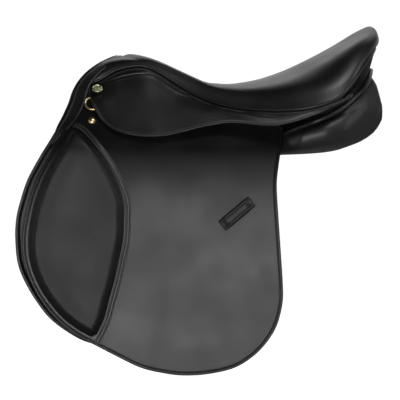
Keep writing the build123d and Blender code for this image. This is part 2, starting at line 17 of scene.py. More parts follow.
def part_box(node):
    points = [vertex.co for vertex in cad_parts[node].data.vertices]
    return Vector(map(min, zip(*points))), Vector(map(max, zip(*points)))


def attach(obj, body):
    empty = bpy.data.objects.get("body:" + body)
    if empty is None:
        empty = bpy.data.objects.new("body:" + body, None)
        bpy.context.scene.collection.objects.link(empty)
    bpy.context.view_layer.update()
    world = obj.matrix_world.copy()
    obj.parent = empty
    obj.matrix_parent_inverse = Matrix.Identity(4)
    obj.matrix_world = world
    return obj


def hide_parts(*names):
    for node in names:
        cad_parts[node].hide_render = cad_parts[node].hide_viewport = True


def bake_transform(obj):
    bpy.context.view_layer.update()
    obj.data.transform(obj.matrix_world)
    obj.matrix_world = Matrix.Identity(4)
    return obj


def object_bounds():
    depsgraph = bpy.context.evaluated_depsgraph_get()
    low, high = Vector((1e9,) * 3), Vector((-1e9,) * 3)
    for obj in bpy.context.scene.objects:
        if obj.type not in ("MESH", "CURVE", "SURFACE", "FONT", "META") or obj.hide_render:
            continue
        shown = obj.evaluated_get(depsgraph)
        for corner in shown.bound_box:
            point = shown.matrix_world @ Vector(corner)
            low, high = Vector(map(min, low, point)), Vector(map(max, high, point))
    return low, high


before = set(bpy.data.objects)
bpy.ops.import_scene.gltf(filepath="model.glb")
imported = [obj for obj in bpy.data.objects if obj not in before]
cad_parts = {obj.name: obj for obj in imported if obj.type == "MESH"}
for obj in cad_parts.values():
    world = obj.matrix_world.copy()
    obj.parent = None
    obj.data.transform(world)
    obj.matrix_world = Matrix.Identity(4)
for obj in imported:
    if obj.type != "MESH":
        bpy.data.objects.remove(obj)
CAD_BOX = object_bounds()
MM = 0.001
SIDES = {"near": -1.0, "off": 1.0}

# Shared dimensions, in millimetres, as in the CAD
HINGE_Z, HINGE_W, TOP_SPREAD = 14.0, 118.0, 0.687
FLAP_THICK = 4.0
# Behind the flap's outside to the sweat flap's, from one stitch to the next, and how gently the flap bends
PANEL_GAP = 22.0
STITCH_PITCH = 3.2
BEND_SOFT = 6.0


# ---------------------------------------------------------------- small maths

def pchip(xs, ys, x):
    """A smooth curve through points that never overshoots them, at x."""
    xs, ys, x = (np.asarray(a, float) for a in (xs, ys, x))
    step, slope = np.diff(xs), np.diff(ys) / np.diff(xs)
    tangent = np.zeros_like(ys)
    same = slope[:-1] * slope[1:] > 0
    a, b = 2 * step[1:] + step[:-1], step[1:] + 2 * step[:-1]
    with np.errstate(divide="ignore", invalid="ignore"):
        mean = (a + b) / (a / slope[:-1] + b / slope[1:])
    tangent[1:-1] = np.where(same, mean, 0)
    tangent[0], tangent[-1] = slope[0], slope[-1]
    x = np.clip(x, xs[0], xs[-1])
    i = np.clip(np.searchsorted(xs, x) - 1, 0, len(step) - 1)
    t = (x - xs[i]) / step[i]
    return (
        (2 * t**3 - 3 * t**2 + 1) * ys[i] + (t**3 - 2 * t**2 + t) * step[i] * tangent[i]
        + (3 * t**2 - 2 * t**3) * ys[i + 1] + (t**3 - t**2) * step[i] * tangent[i + 1]
    )


def curve(points, count, closed=False):
    """count points at even spacing along a smooth curve through the given points."""
    p = np.asarray(points, float)
    if closed:
        p = np.vstack([p[-2:], p, p[:3]])
    gap = np.linalg.norm(np.diff(p, axis=0), axis=1)
    t = np.concatenate([[0], np.cumsum(np.sqrt(gap))])
    m = np.zeros_like(p)
    m[1:-1] = (p[2:] - p[:-2]) / (t[2:] - t[:-2])[:, None]
    m[0], m[-1] = (p[1] - p[0]) / (t[1] - t[0]), (p[-1] - p[-2]) / (t[-1] - t[-2])
    lo, hi = (t[2], t[-3]) if closed else (t[0], t[-1])
    fine = np.linspace(lo, hi, 60 * len(p))
    i = np.clip(np.searchsorted(t, fine, side="right") - 1, 0, len(t) - 2)
    h = (t[i + 1] - t[i])[:, None]
    s = ((fine - t[i]) / (t[i + 1] - t[i]))[:, None]
    dense = (
        (2 * s**3 - 3 * s**2 + 1) * p[i] + (s**3 - 2 * s**2 + s) * h * m[i]
        + (3 * s**2 - 2 * s**3) * p[i + 1] + (s**3 - s**2) * h * m[i + 1]
    )
    return resample(dense, count, closed)


def resample(line, count, closed=False):
    """count points at even spacing along a dense line."""
    line = np.asarray(line, float)
    run = np.concatenate([[0], np.cumsum(np.linalg.norm(np.diff(line, axis=0), axis=1))])
    at = np.linspace(0, run[-1], count + 1)[:-1] if closed else np.linspace(0, run[-1], count)
    return np.stack([np.interp(at, run, line[:, k]) for k in range(line.shape[1])], 1)


def length_of(line):
    return float(np.linalg.norm(np.diff(line, axis=0), axis=1).sum())


def unit(vectors):
    """Each row at length one."""
    return vectors / np.linalg.norm(vectors, axis=-1)[..., None]


def along(line):
    """Unit directions along a line."""
    return unit(np.gradient(line, axis=0))


def leftward(line):
    """Unit directions to the left of a line in side view."""
    t = along(line)
    return np.stack([-t[:, 1], t[:, 0]], 1)


def ease(x, start, end):
    """0 before start, 1 after end, smooth between."""
    t = np.clip((np.asarray(x, float) - start) / (end - start), 0, 1)
    return t * t * (3 - 2 * t)


def distance_to(points, line):
    """Distance of each 2D point to a polyline."""
    p, a, b = np.asarray(points, float), line[:-1], line[1:]
    ab = b - a
    best = np.full(len(p), 1e9)
    for k in range(0, len(p), 4000):
        q = p[k:k + 4000, None, :] - a[None]
        t = np.clip((q * ab[None]).sum(2) / np.maximum((ab**2).sum(1), 1e-12), 0, 1)
        best[k:k + 4000] = np.linalg.norm(q - t[..., None] * ab[None], axis=2).min(1)
    return best


def inside(points, ring):
    """Whether each 2D point is inside a closed ring."""
    x, z = points[:, 0], points[:, 1]
    hit = np.zeros(len(points), bool)
    for (x0, z0), (x1, z1) in zip(ring, np.roll(ring, -1, 0)):
        cross = (z0 > z) != (z1 > z)
        with np.errstate(divide="ignore", invalid="ignore"):
            hit ^= cross & (x < (x1 - x0) * (z - z0) / (z1 - z0) + x0)
    return hit


# ---------------------------------------------------------------- meshes

def make_mesh(name, verts_mm, faces, material):
    mesh = bpy.data.meshes.new(name)
    verts = (np.asarray(verts_mm, float) * MM).tolist()
    mesh.from_pydata(verts, [], [tuple(int(i) for i in f) for f in faces])
    mesh.update()
    obj = bpy.data.objects.new(name, mesh)
    bpy.context.scene.collection.objects.link(obj)
    mesh.polygons.foreach_set("use_smooth", [True] * len(mesh.polygons))
    mesh.materials.append(material)
    fix_normals(obj)
    return obj


def fix_normals(obj):
    bm = bmesh.new()
    bm.from_mesh(obj.data)
    bmesh.ops.remove_doubles(bm, verts=bm.verts, dist=1e-6)
    bmesh.ops.recalc_face_normals(bm, faces=bm.faces)
    bm.to_mesh(obj.data)
    bm.free()


def grid_faces(rows, cols, wrap_cols=False, wrap_rows=False):
    faces = []
    for r in range(rows if wrap_rows else rows - 1):
        for c in range(cols if wrap_cols else cols - 1):
            this, following = r * cols, (r + 1) % rows * cols
            c2 = (c + 1) % cols
            faces.append((this + c, this + c2, following + c2, following + c))
    return faces


def band_faces(count, width):
    """Faces of a closed band: count sections of width points each, with flat ends."""
    faces = grid_faces(count, width, wrap_cols=True)
    faces.append(tuple(range(width)))
    faces.append(tuple((count - 1) * width + k for k in range(width - 1, -1, -1)))
    return faces


def pointed_faces(count, width):
    """Faces of count closed rings of width points, each end drawn to a point: the two points come last."""
    faces = grid_faces(count, width, wrap_cols=True)
    first, last = count * width, count * width + 1
    for c in range(width):
        faces.append((first, (c + 1) % width, c))
        faces.append((last, (count - 1) * width + c, (count - 1) * width + (c + 1) % width))
    return faces


def tube(name, path, radius, material, sides):
    """A closed round tube along a 3D path, with rounded ends."""
    tangent = along(path)
    across = np.zeros_like(path)
    ref = np.array([0, 0, 1.0])
    for i, t in enumerate(tangent):
        n = ref - t * (ref @ t)
        across[i] = ref = n / np.linalg.norm(n)
    side = np.cross(tangent, across)
    angle = np.linspace(0, 2 * math.pi, sides, endpoint=False)[None, :, None]
    rings = path[:, None] + side[:, None] * np.cos(angle) * radius + across[:, None] * np.sin(angle) * radius

    def end_rings(ring, beside, shares):
        middle = ring.mean(0)
        away = unit(middle - beside.mean(0))
        reach = np.linalg.norm(ring[0] - middle)
        return np.array([middle + (ring - middle) * k + away * (1 - k * k) ** 0.5 * reach * 0.6
                         for k in shares])

    rings = np.concatenate([end_rings(rings[0], rings[1], (0.35, 0.8)), rings,
                            end_rings(rings[-1], rings[-2], (0.8, 0.35))])
    verts = np.vstack([rings.reshape(-1, 3), rings[0].mean(0), rings[-1].mean(0)])
    return make_mesh(name, verts, pointed_faces(len(rings), sides), material)


def offset_ring(ring, d):
    """A closed ring moved inward by d; the ring runs so that its inside is on the left."""
    tangent = np.roll(ring, -1, 0) - np.roll(ring, 1, 0)
    tangent /= np.maximum(np.linalg.norm(tangent, axis=1), 1e-9)[:, None]
    return ring + np.stack([-tangent[:, 1], tangent[:, 0]], 1) * d


def turned_left(ring):
    """The ring in the direction that has its inside on the left."""
    x, z = ring[:, 0], ring[:, 1]
    area = (x * np.roll(z, -1) - np.roll(x, -1) * z).sum()
    return ring if area > 0 else ring[::-1]


def leather_sheet(name, ring, place, front, back, material, height=None, spacing=5.0, creases=()):
    """A thick sheet with a shaped edge.

    ring is its closed outline in side view. front and back are (inset,
                                                            height) from the edge inward. place turns
    (x, z, height) into points. height adds to the front by its inset. creases are lines along which the front
    has more points.
    """
    ring = turned_left(np.asarray(ring, float))
    count = len(ring)
    closed = np.vstack([ring, ring[:1]])
    verts, faces = [], []

    def add_rings(profile, extra):
        rows = []
        for inset, h in profile:
            r = offset_ring(ring, inset)
            add = extra(r[:, 0], r[:, 1], np.full(count, inset)) if extra else 0.0
            rows.append(place(r[:, 0], r[:, 1], h + add))
        return rows

    rows = add_rings(front[::-1], height) + add_rings(back, None)
    for row in rows:
        verts.append(row)
    faces += grid_faces(len(rows), count, wrap_cols=True)
    total = len(rows) * count

    def fill(profile, first_index, extra, flip, lines):
        nonlocal total
        inset, h = profile[-1]
        inner = offset_ring(ring, inset)
        lo, hi = inner.min(0), inner.max(0)
        gx, gz = np.meshgrid(np.arange(lo[0], hi[0], spacing), np.arange(lo[1], hi[1], spacing))
        pts = np.stack([gx.ravel(), gz.ravel()], 1)
        for line, offsets in lines:
            n = max(int(length_of(line) / 2.2), 8)
            centre = resample(line, n)
            normal = leftward(centre)
            near_line = distance_to(pts, centre) < max(map(abs, offsets)) + spacing * 0.5
            pts = np.vstack([pts[~near_line]] + [centre + normal * o for o in offsets])
        keep = inside(pts, inner) & (distance_to(pts, np.vstack([inner, inner[:1]])) > spacing * 0.45)
        pts = pts[keep]
        if lines:
            _, unique = np.unique(np.round(pts / 0.4).astype(int), axis=0, return_index=True)
            pts = pts[np.sort(unique)]
        coords = [Vector(p) for p in np.vstack([inner, pts])]
        out = delaunay_2d_cdt(coords, [], [list(range(count))], 1, 1e-5)
        new_verts, new_faces, origin = out[0], out[2], out[3]
        p = np.array([tuple(v) for v in new_verts])
        d = distance_to(p, closed)
        add = extra(p[:, 0], p[:, 1], d) if extra else 0.0
        verts.append(place(p[:, 0], p[:, 1], h + add))
        index = {}
        for i, o in enumerate(origin):
            small = [k for k in o if k < count]
            index[i] = first_index + small[0] if small else total + i
        for f in new_faces:
            f = [index[i] for i in f]
            faces.append(f[::-1] if flip else f)
        total += len(p)

    fill(front, 0, height, False, creases)
    fill(back, (len(rows) - 1) * count, None, True, ())
    allv = np.vstack(verts)
    used = sorted({i for f in faces for i in f})
    remap = {o: n for n, o in enumerate(used)}
    return make_mesh(name, allv[used], [[remap[i] for i in f] for f in faces], material)


def bead_line(name, line, outward, material, pitch=STITCH_PITCH, long=2.3, wide=0.8, high=0.55):
    """Stitches along a 3D line: rounded beads sunk halfway into leather that faces outward."""
    count = max(int(length_of(line) / pitch), 2)
    centre = resample(line, count)
    normals = resample(outward, count)
    tangent = along(centre)
    normals = unit(normals - tangent * (normals * tangent).sum(1)[:, None])
    side = np.cross(tangent, normals)
    run = np.array([-1, -0.75, 0, 0.75, 1]) * long / 2
    size = np.array([0.15, 0.75, 1, 0.75, 0.15])
    sides = 6
    angle = np.linspace(0, 2 * math.pi, sides, endpoint=False)
    verts, faces = [], []
    for c, t, n, s in zip(centre, tangent, normals, side):
        start = len(verts) * len(size) * sides
        rings = c + t * run[:, None, None] + (
            s * np.cos(angle)[None, :, None] * wide / 2 + n * np.sin(angle)[None, :, None] * high
        ) * size[:, None, None]
        verts.append(rings.reshape(-1, 3))
        faces += [tuple(start + i for i in f) for f in band_faces(len(size), sides)]
    return make_mesh(name, np.vstack(verts), faces, material)


def mirrored(points, side):
    """Points of a near side piece on the side asked for."""
    out = np.array(points, float)
    if side > 0:
        out[..., 1] *= -1
    return out


# ---------------------------------------------------------------- materials

class Nodes:
    """A short way to write a material's nodes."""

    def __init__(self, name):
        self.material = bpy.data.materials.new(name)
        self.material.use_nodes = True
        self.tree = self.material.node_tree
        self.shader = self.tree.nodes["Principled BSDF"]
        self.where = self.add("ShaderNodeTexCoord").outputs["Object"]

    def add(self, kind, **values):
        node = self.tree.nodes.new(kind)
        for key, value in values.items():
            if key in node.inputs:
                node.inputs[key].default_value = value
            else:
                setattr(node, key, value)
        return node

    def link(self, a, b):
        self.tree.links.new(a, b)

    def noise(self, scale, detail=3.0, rough=0.55):
        node = self.add("ShaderNodeTexNoise", Scale=scale, Detail=detail, Roughness=rough)
        self.link(self.where, node.inputs["Vector"])
        return node.outputs["Fac"]

    def cells(self, scale, feature="F1", randomness=1.0):
        node = self.add("ShaderNodeTexVoronoi", feature=feature)
        node.inputs["Scale"].default_value = scale
        node.inputs["Randomness"].default_value = randomness
        self.link(self.where, node.inputs["Vector"])
        return node.outputs["Distance"]

    def spread(self, value, low, high, to_low, to_high):
        node = self.add("ShaderNodeMapRange")
        for key, v in zip(("From Min", "From Max", "To Min", "To Max"), (low, high, to_low, to_high)):
            node.inputs[key].default_value = v
        self.link(value, node.inputs["Value"])
        return node.outputs["Result"]

    def mix(self, factor, a, b):
        node = self.add("ShaderNodeMix", data_type="RGBA")
        node.inputs["A"].default_value = (*a, 1)
        node.inputs["B"].default_value = (*b, 1)
        self.link(factor, node.inputs["Factor"])
        return node.outputs["Result"]

    def math(self, operation, a, b):
        node = self.add("ShaderNodeMath", operation=operation)
        for socket, value in zip(node.inputs, (a, b)):
            if isinstance(value, (int, float)):
                socket.default_value = value
            else:
                self.link(value, socket)
        return node.outputs[0]

    def bump(self, height, distance, strength=1.0, under=None):
        node = self.add("ShaderNodeBump", Distance=distance, Strength=strength)
        self.link(height, node.inputs["Height"])
        if under is not None:
            self.link(under, node.inputs["Normal"])
        return node.outputs["Normal"]

    def finish(self, color=None, rough=None, normal=None, **plain):
        if color is not None:
            self.link(color, self.shader.inputs["Base Color"])
        if rough is not None:
            self.link(rough, self.shader.inputs["Roughness"])
        if normal is not None:
            self.link(normal, self.shader.inputs["Normal"])
        for key, value in plain.items():
            self.shader.inputs[key.replace("_", " ")].default_value = value
        return self.material


def leather(name, dark, light, rough, grain, depth, polish=0.5, coat=0.0, painted_shade_band=None):
    """Black leather: fine pebbled grain, pores, faint mottling and uneven polish.

    The band of heights, two shares of the piece's height, over which the polish fades toward its top is
    painted shade, standing in for the shadow where another leather covers the piece.
    """
    m = Nodes(name)
    # painted shade: the reflection dims toward the piece's top, for the shadow cast by a leather above it
    if painted_shade_band:
        height = m.add("ShaderNodeSeparateXYZ")
        m.link(m.add("ShaderNodeTexCoord").outputs["Generated"], height.inputs[0])
        fade = m.add("ShaderNodeMapRange", interpolation_type="SMOOTHSTEP")
        for key, v in zip(("From Min", "From Max", "To Min", "To Max"), (*painted_shade_band, polish, 0.05)):
            fade.inputs[key].default_value = v
        m.link(height.outputs["Z"], fade.inputs["Value"])
        m.link(fade.outputs["Result"], m.shader.inputs["Specular IOR Level"])
    else:
        m.shader.inputs["Specular IOR Level"].default_value = polish
    pebbles = m.cells(grain)
    soft = m.noise(grain * 1.9, 4.0)
    creases = m.noise(60.0, 3.0, 0.6)
    mottle = m.noise(14.0, 5.0, 0.6)
    color = m.mix(m.spread(mottle, 0.35, 0.68, 0, 1), dark, light)
    worn = m.spread(mottle, 0.3, 0.7, rough - 0.06, rough + 0.05)
    uneven = m.math("ADD", worn, m.spread(soft, 0.3, 0.7, -0.03, 0.03))
    normal = m.bump(creases, 0.0004, 0.35)
    pebbled = m.math("ADD", m.spread(pebbles, 0.0, 0.6, 1.0, 0.0), m.math("MULTIPLY", soft, 0.5))
    normal = m.bump(pebbled, depth, 0.6, normal)
    return m.finish(color, uneven, normal, Coat_Weight=coat, Coat_Roughness=0.3)


def metal(name, dark, light, rough):
    """Metal with faint brushing and handling marks."""
    m = Nodes(name)
    marks = m.noise(300.0, 4.0, 0.65)
    stain = m.noise(40.0, 4.0, 0.6)
    color = m.mix(m.spread(stain, 0.35, 0.7, 0, 1), dark, light)
    polish = m.spread(marks, 0.3, 0.7, rough - 0.07, rough + 0.09)
    return m.finish(color, polish, m.bump(marks, 0.00008, 0.5), Metallic=1.0)


def wood(name):
    """Dark stained laminated beech: thin plies and grain along X."""
    m = Nodes(name)
    stretch = m.add("ShaderNodeMapping")
    stretch.inputs["Scale"].default_value = (0.12, 1.0, 1.0)
    m.link(m.where, stretch.inputs["Vector"])
    m.where = stretch.outputs["Vector"]
    grain = m.noise(420.0, 5.0, 0.6)
    plies = m.add("ShaderNodeTexWave", Scale=160.0, Distortion=1.5, Detail=2.0)
    plies.bands_direction = "Z"
    m.link(m.where, plies.inputs["Vector"])
    mixed = m.math("ADD", m.math("MULTIPLY", grain, 0.6), m.math("MULTIPLY", plies.outputs["Fac"], 0.4))
    return m.finish(m.mix(mixed, (0.02, 0.012, 0.008),
                          (0.05, 0.03, 0.018)), m.spread(grain, 0.3, 0.7, 0.4, 0.6),
                    m.bump(mixed, 0.0002, 0.6))


def webbing(name, dark, light):
    """Woven webbing or wadding."""
    m = Nodes(name)
    weave = m.add("ShaderNodeTexChecker", Scale=900.0)
    m.link(m.where, weave.inputs["Vector"])
    fuzz = m.noise(700.0, 4.0, 0.6)
    both = m.math("ADD", m.math("MULTIPLY", weave.outputs["Fac"], 0.4), m.math("MULTIPLY", fuzz, 0.6))
    return m.finish(m.mix(both, dark, light), m.spread(fuzz, 0.3, 0.7, 0.75, 0.95), m.bump(both, 0.0005, 0.8),
                    Sheen_Weight=0.3)


def enamel(name, dark, light):
    m = Nodes(name)
    clouds = m.noise(420.0, 3.0)
    return m.finish(m.mix(m.spread(clouds, 0.35, 0.65, 0, 1), dark, light), m.spread(clouds, 0.3, 0.7, 0.2,
                                                            0.34),
                    m.bump(clouds, 0.0001, 0.4))


def thread(name):
    m = Nodes(name)
    twist = m.noise(2500.0, 2.0)
    return m.finish(m.mix(twist, (0.03, 0.03, 0.03), (0.1, 0.1, 0.1)), m.spread(twist, 0.3, 0.7, 0.5, 0.75),
                    m.bump(twist, 0.0002, 0.6))


SEAT = leather("seat_calf", (0.003, 0.003, 0.0032), (0.006, 0.0058, 0.006), 0.4, 1300.0, 0.00006, coat=0.06)
# the flap's upper part loses its polish: painted shade for the shadow under the skirt
FLAP = leather("flap_bridle", (0.004, 0.0039, 0.004),
               (0.008, 0.0078, 0.008), 0.45, 1100.0, 0.00010, 0.46, painted_shade_band=(0.5, 0.78))
SKIRT = leather("skirt_bridle", (0.004, 0.0039, 0.004), (0.0075, 0.0073, 0.0075), 0.42, 1100.0, 0.00009)
PAD = leather("pad_grain", (0.003, 0.0029, 0.003), (0.006, 0.0058, 0.006), 0.48, 900.0, 0.00014, 0.3)
PANEL = leather("panel_soft", (0.004, 0.0038, 0.0038), (0.007, 0.0068, 0.0068), 0.45, 900.0, 0.00012)
STRAP = leather("strap_waxed", (0.005, 0.0046, 0.0044), (0.010, 0.0096, 0.0094), 0.42, 1500.0, 0.00006)
KEEPER = leather("keeper_leather", (0.002, 0.002, 0.002), (0.004, 0.004, 0.004), 0.5, 1500.0, 0.00006, 0.36)
WELT = leather("welt_leather", (0.004, 0.0039, 0.0039), (0.007, 0.0068, 0.0068), 0.4, 1400.0, 0.00006)
# darker, duller copy of the leather: painted shade for the recess behind the cantle under the seat's flank
FACING_PAINTED_SHADE = leather("facing_painted_shade", (0.002, 0.002, 0.002), (0.004, 0.004, 0.004), 0.5, 1200.0, 0.00008, 0.12)
BRASS = metal("brass_polished", (0.6, 0.4, 0.2), (0.88, 0.7, 0.44), 0.36)
STUD_METAL = metal("brass_greened", (0.36, 0.37, 0.2), (0.62, 0.6, 0.4), 0.36)
STEEL = metal("steel_brushed", (0.42, 0.42, 0.43), (0.62, 0.62, 0.63), 0.34)
SPRING = metal("steel_blacked", (0.02, 0.02, 0.022), (0.06, 0.06, 0.064), 0.45)
WOOD = wood("beech_laminate")
WEB = webbing("web_natural", (0.3, 0.25, 0.17), (0.6, 0.53, 0.4))
THREAD = thread("waxed_thread")
STUD_FACE = enamel("stud_green", (0.09, 0.11, 0.05), (0.2, 0.23, 0.12))


# ---------------------------------------------------------------- outlines in side view

FLAP_EDGE = [
              (-214, 113), (-218.5, 97.6), (-225, 81), (-231, 66.6), (-240, 51), (-249.5, 34), (-260, 15.5),
              (-276, -11), (-290, -39), (-301, -70), (-308, -101), (-311.5, -132), (-309, -163), (-299, -194),
              (-282, -225), (-256, -256), (-228, -277.5), (-198, -293), (-169, -308), (-129, -327),
              (-90, -336),
              (-59, -338.7), (-23, -336), (14, -327), (42, -310), (63.5, -288), (79, -262), (87.6, -229),
              (88.4, -201.5), (85, -147), (81.4, -93), (79, -46.5), (82, -15.5), (86.8, 15.5), (90, 42),
]
FLAP_TOP = [(90, 42), (60, 60), (-40, 66), (-150, 74), (-180, 98), (-214, 113)]
SWEAT_EDGE = [
    (-242, 72), (-251, 54), (-262, 36), (-273, 17), (-284, -1.5), (-304, -39), (-316, -76),
    (-321, -99), (-322.4, -128), (-318, -169), (-302, -206), (-277, -243), (-257, -262), (-228, -281),
    (-205, -290),
    (-150, -303), (-60, -312), (20, -295), (55, -250), (62, -180), (60, -60), (64, 20),
]
SWEAT_TOP = [(64, 20), (-190, 20), (-226, 44), (-242, 72)]
STRIP_LINE = [
    (-235, 47), (-218.5, 38.8), (-197, 17), (-178, -7.8), (-161, -38.8), (-149.6, -69.8), (-148.8, -100.8),
    (-150.4, -131.8), (-156.6, -162.8), (-163.5, -193.8), (-172, -224.8), (-180.6, -255.8), (-196.9, -289.9),
]


# ---------------------------------------------------------------- flap family

def flap_bend(z):
    """How far inside the hanging plane the flap's outside is at height z."""
    over = BEND_SOFT * np.logaddexp(0, (np.asarray(z, float) - HINGE_Z) / BEND_SOFT)
    return over * TOP_SPREAD


def flap_place(side, depth=0.0):
    """Turns side view x, z and a height over the flap's outside into a point."""
    lean = math.atan(TOP_SPREAD)

    def place(x, z, h):
        x, z = np.asarray(x, float), np.asarray(z, float)
        tilt = lean / (1 + np.exp(-(z - HINGE_Z) / BEND_SOFT))
        w = HINGE_W - depth - flap_bend(z) + h * np.cos(tilt)
        wave = 0.8 * np.sin(x / 95.0 + 0.6) * np.sin(z / 120.0)
        return np.stack([x, side * (w + wave), z + h * np.sin(tilt)], -1)

    return place


def ring_of(edge, top, spacing=2.0):
    edge = curve(edge, int(length_of(np.array(edge)) / spacing))
    top = resample(np.array(top, float), max(int(length_of(np.array(top)) / spacing), 8))
    return np.vstack([edge, top[1:-1]])


def lift_blend(piece, side_name):
    """Bakes the piece's transform into its mesh."""
    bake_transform(piece)


def build_flap(side_name):
    side = SIDES[side_name]
    place = flap_place(side)
    ring = ring_of(FLAP_EDGE, FLAP_TOP)
    front = [(0.0, -2.0), (0.15, -1.1), (0.6, -0.35), (1.3, -0.02), (2.6, 0.0), (3.3, -0.05),
             (3.7, -0.8), (4.2, -1.3),
             (4.7, -0.8), (5.3, -0.05), (6.4, 0.0), (8.5, 0.0)]
    back = [(0.15, -FLAP_THICK + 1.0), (0.7, -FLAP_THICK + 0.2), (1.6, -FLAP_THICK)]
    flap = leather_sheet(f"{side_name}_flap_leather", ring, place, front, back, FLAP, spacing=6.0)
    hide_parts(f"{side_name}_flap", f"{side_name}_flap_top")
    lift_blend(flap, side_name)


def pad_ring():
    """The knee pad's outline: just inside the flap's front edge, and along the strip."""
    edge = curve(FLAP_EDGE, 700)
    edge = edge[(edge[:, 1] < 60) & (edge[:, 0] < -196) & (edge[:, 1] > -288)]
    inner = edge + leftward(edge) * 9.0
    inner = inner[inner[:, 1] < 36]
    strip = curve(STRIP_LINE, 200)
    beside = strip - leftward(strip) * 6.2
    beside = beside[(beside[:, 1] > -276) & (beside[:, 1] < 40)]
    return resample(np.vstack([inner, beside[::-1], inner[:1]]), 420, closed=True)


def build_knee_pad(side_name):
    side = SIDES[side_name]
    place = flap_place(side)
    ring = pad_ring()

    def puff(x, z, d):
        rise = 9.6 * ease(d, 0.5, 10.0) + 1.9 * ease(d, 7.0, 40.0)
        return rise * (1 - 0.3 * ease(z, 10, 44))

    front = [(0.0, 0.1), (0.1, 0.7), (0.5, 1.4), (1.2, 1.9), (2.2, 2.0), (3.6, 2.0), (5.5, 2.0)]
    back = [(0.6, 0.05), (2.0, 0.05)]
    pad = leather_sheet(f"{side_name}_knee_pad_leather", ring, place, front, back, PAD, height=puff,
                        spacing=4.0)
    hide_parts(f"{side_name}_knee_pad")
    lift_blend(pad, side_name)


def build_knee_strip(side_name):
    side = SIDES[side_name]
    line = curve(STRIP_LINE, 260)
    line = line[line[:, 1] < 46]
    n = leftward(line)
    half = 4.2
    place = flap_place(side)
    profile = [(-1.0, 0.1), (-1.0, 1.1), (-0.93, 1.9), (-0.8, 2.2), (-0.66, 1.4), (-0.5, 2.2),
               (-0.2, 2.7), (0.2, 2.7),
               (0.5, 2.2), (0.66, 1.4), (0.8, 2.2), (0.93, 1.9), (1.0, 1.1), (1.0, 0.1)]
    cols = [place(*(line + n * half * u).T, h) for u, h in profile]
    rings = np.stack(cols, 1)
    strip = make_mesh(f"{side_name}_knee_strip_leather", rings.reshape(-1, 3),
                      band_faces(*rings.shape[:2]), STRAP)
    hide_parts(f"{side_name}_knee_strip")
    lift_blend(strip, side_name)
    for k, u in enumerate((-0.66, 0.66)):
        path = place(*(line + n * half * u)[6:-6].T, 1.6)
        outward = place(*(line + n * half * u)[6:-6].T, 6.0) - path
        stitches = bead_line(f"{side_name}_knee_strip_stitches_{k}", path, outward, THREAD, wide=1.3,
                             high=1.1)
        lift_blend(stitches, side_name)


def build_sweat_flap(side_name):
    side = SIDES[side_name]
    ring = ring_of(SWEAT_EDGE, SWEAT_TOP)
    base = flap_place(side, PANEL_GAP)

    def place(x, z, h):
        x = np.asarray(x, float)
        points = base(x, z, h)
        toward_flap = 5.5 * ease(-x, 235, 315) * ease(-np.asarray(z, float), -90, 60)
        points[..., 1] += side * toward_flap
        return points

    front = [(0.0, -2.0), (0.2, -1.0), (0.8, -0.25), (1.8, 0.0), (2.8, 0.1), (3.8, -0.1), (4.8, -0.7),
             (6.4, -2.6), (7.4, -3.3),
             (9.0, -3.4)]
    back = [(0.2, -3.0), (0.8, -3.9), (1.8, -4.4)]
    sheet = leather_sheet(f"{side_name}_sweat_flap_leather", ring, place, front, back, PANEL, spacing=8.0)
    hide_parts(f"{side_name}_sweat_flap")
    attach(sheet, "saddle")


def build_keeper(side_name):
    """The keeper strip, bent up between its two sewn ends."""
    side = SIDES[side_name]
    low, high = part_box(f"{side_name}_leather_keeper")
    centre = np.array([(low.x + high.x) / 2, (low.z + high.z) / 2]) / MM
    angle = math.radians(40)
    lengthways = np.array([math.cos(angle), math.sin(angle)])
    across = np.array([-math.sin(angle), math.cos(angle)])
    half_long, half_wide = 30.0, 8.8
    u = np.linspace(-1, 1, 61)
    rise = 3.2 * ease(1 - np.abs(u), 0.06, 0.42)
    fold = 0.9 * np.exp(-((np.abs(u) - 0.93) / 0.05) ** 2)
    place = flap_place(side)
    section = [(-1.1, 0.1), (-1.03, 1.2), (-0.9, 2.4), (-0.82, 2.5), (-0.7, 0.5), (-0.52, 2.1),
               (-0.3, 2.4), (0.3, 2.4),
               (0.52, 2.1), (0.7, 0.5), (0.82, 2.5), (0.9, 2.4), (1.03, 1.2), (1.1, 0.1)]
    rings = []
    for ui, r, f in zip(u, rise, fold):
        squeeze = 1 - 0.04 * ease(abs(ui), 0.8, 1.0)
        middle = centre + lengthways * ui * half_long
        rings.append([place(*(middle + across * v * half_wide * squeeze), h + r + f) for v, h in section])
    rings = np.array(rings)
    keeper = make_mesh(f"{side_name}_keeper_strip", rings.reshape(-1, 3), band_faces(*rings.shape[:2]),
                       KEEPER)
    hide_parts(f"{side_name}_leather_keeper")
    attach(keeper, f"{side_name}_flap")
    for k, v in enumerate((-0.72, 0.72)):
        spots = centre + lengthways * (u[:, None] * half_long * 0.97) + across * v * half_wide
        path = np.array([place(*s, 1.2 + r + f) for s, r, f in zip(spots, rise, fold)])
        outward = np.tile([0, side, 0], (len(path), 1))
        stitches = bead_line(f"{side_name}_keeper_stitches_{k}", path, outward, THREAD, pitch=2.6, long=1.8)
        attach(stitches, f"{side_name}_flap")


# ---------------------------------------------------------------- seat

# The seam between seat and skirt, near side: x, z and distance from the centre plane
SEAM = [
    (-212, 110, 47), (-194, 117, 48), (-170, 131, 52), (-150, 137, 55), (-132, 138.7, 57),
    (-116, 135, 59), (-101, 128, 62),
    (-77.5, 113, 68), (-54, 98, 76), (-31, 87, 86), (-8, 79, 97), (23, 73, 111), (54, 70, 124),
    (85, 69, 135), (116, 71, 142),
    (147, 77, 143), (170, 86, 138), (190, 105, 125), (208, 131, 103), (222, 151, 76), (231, 164, 42),
    (234, 169, 0),
]
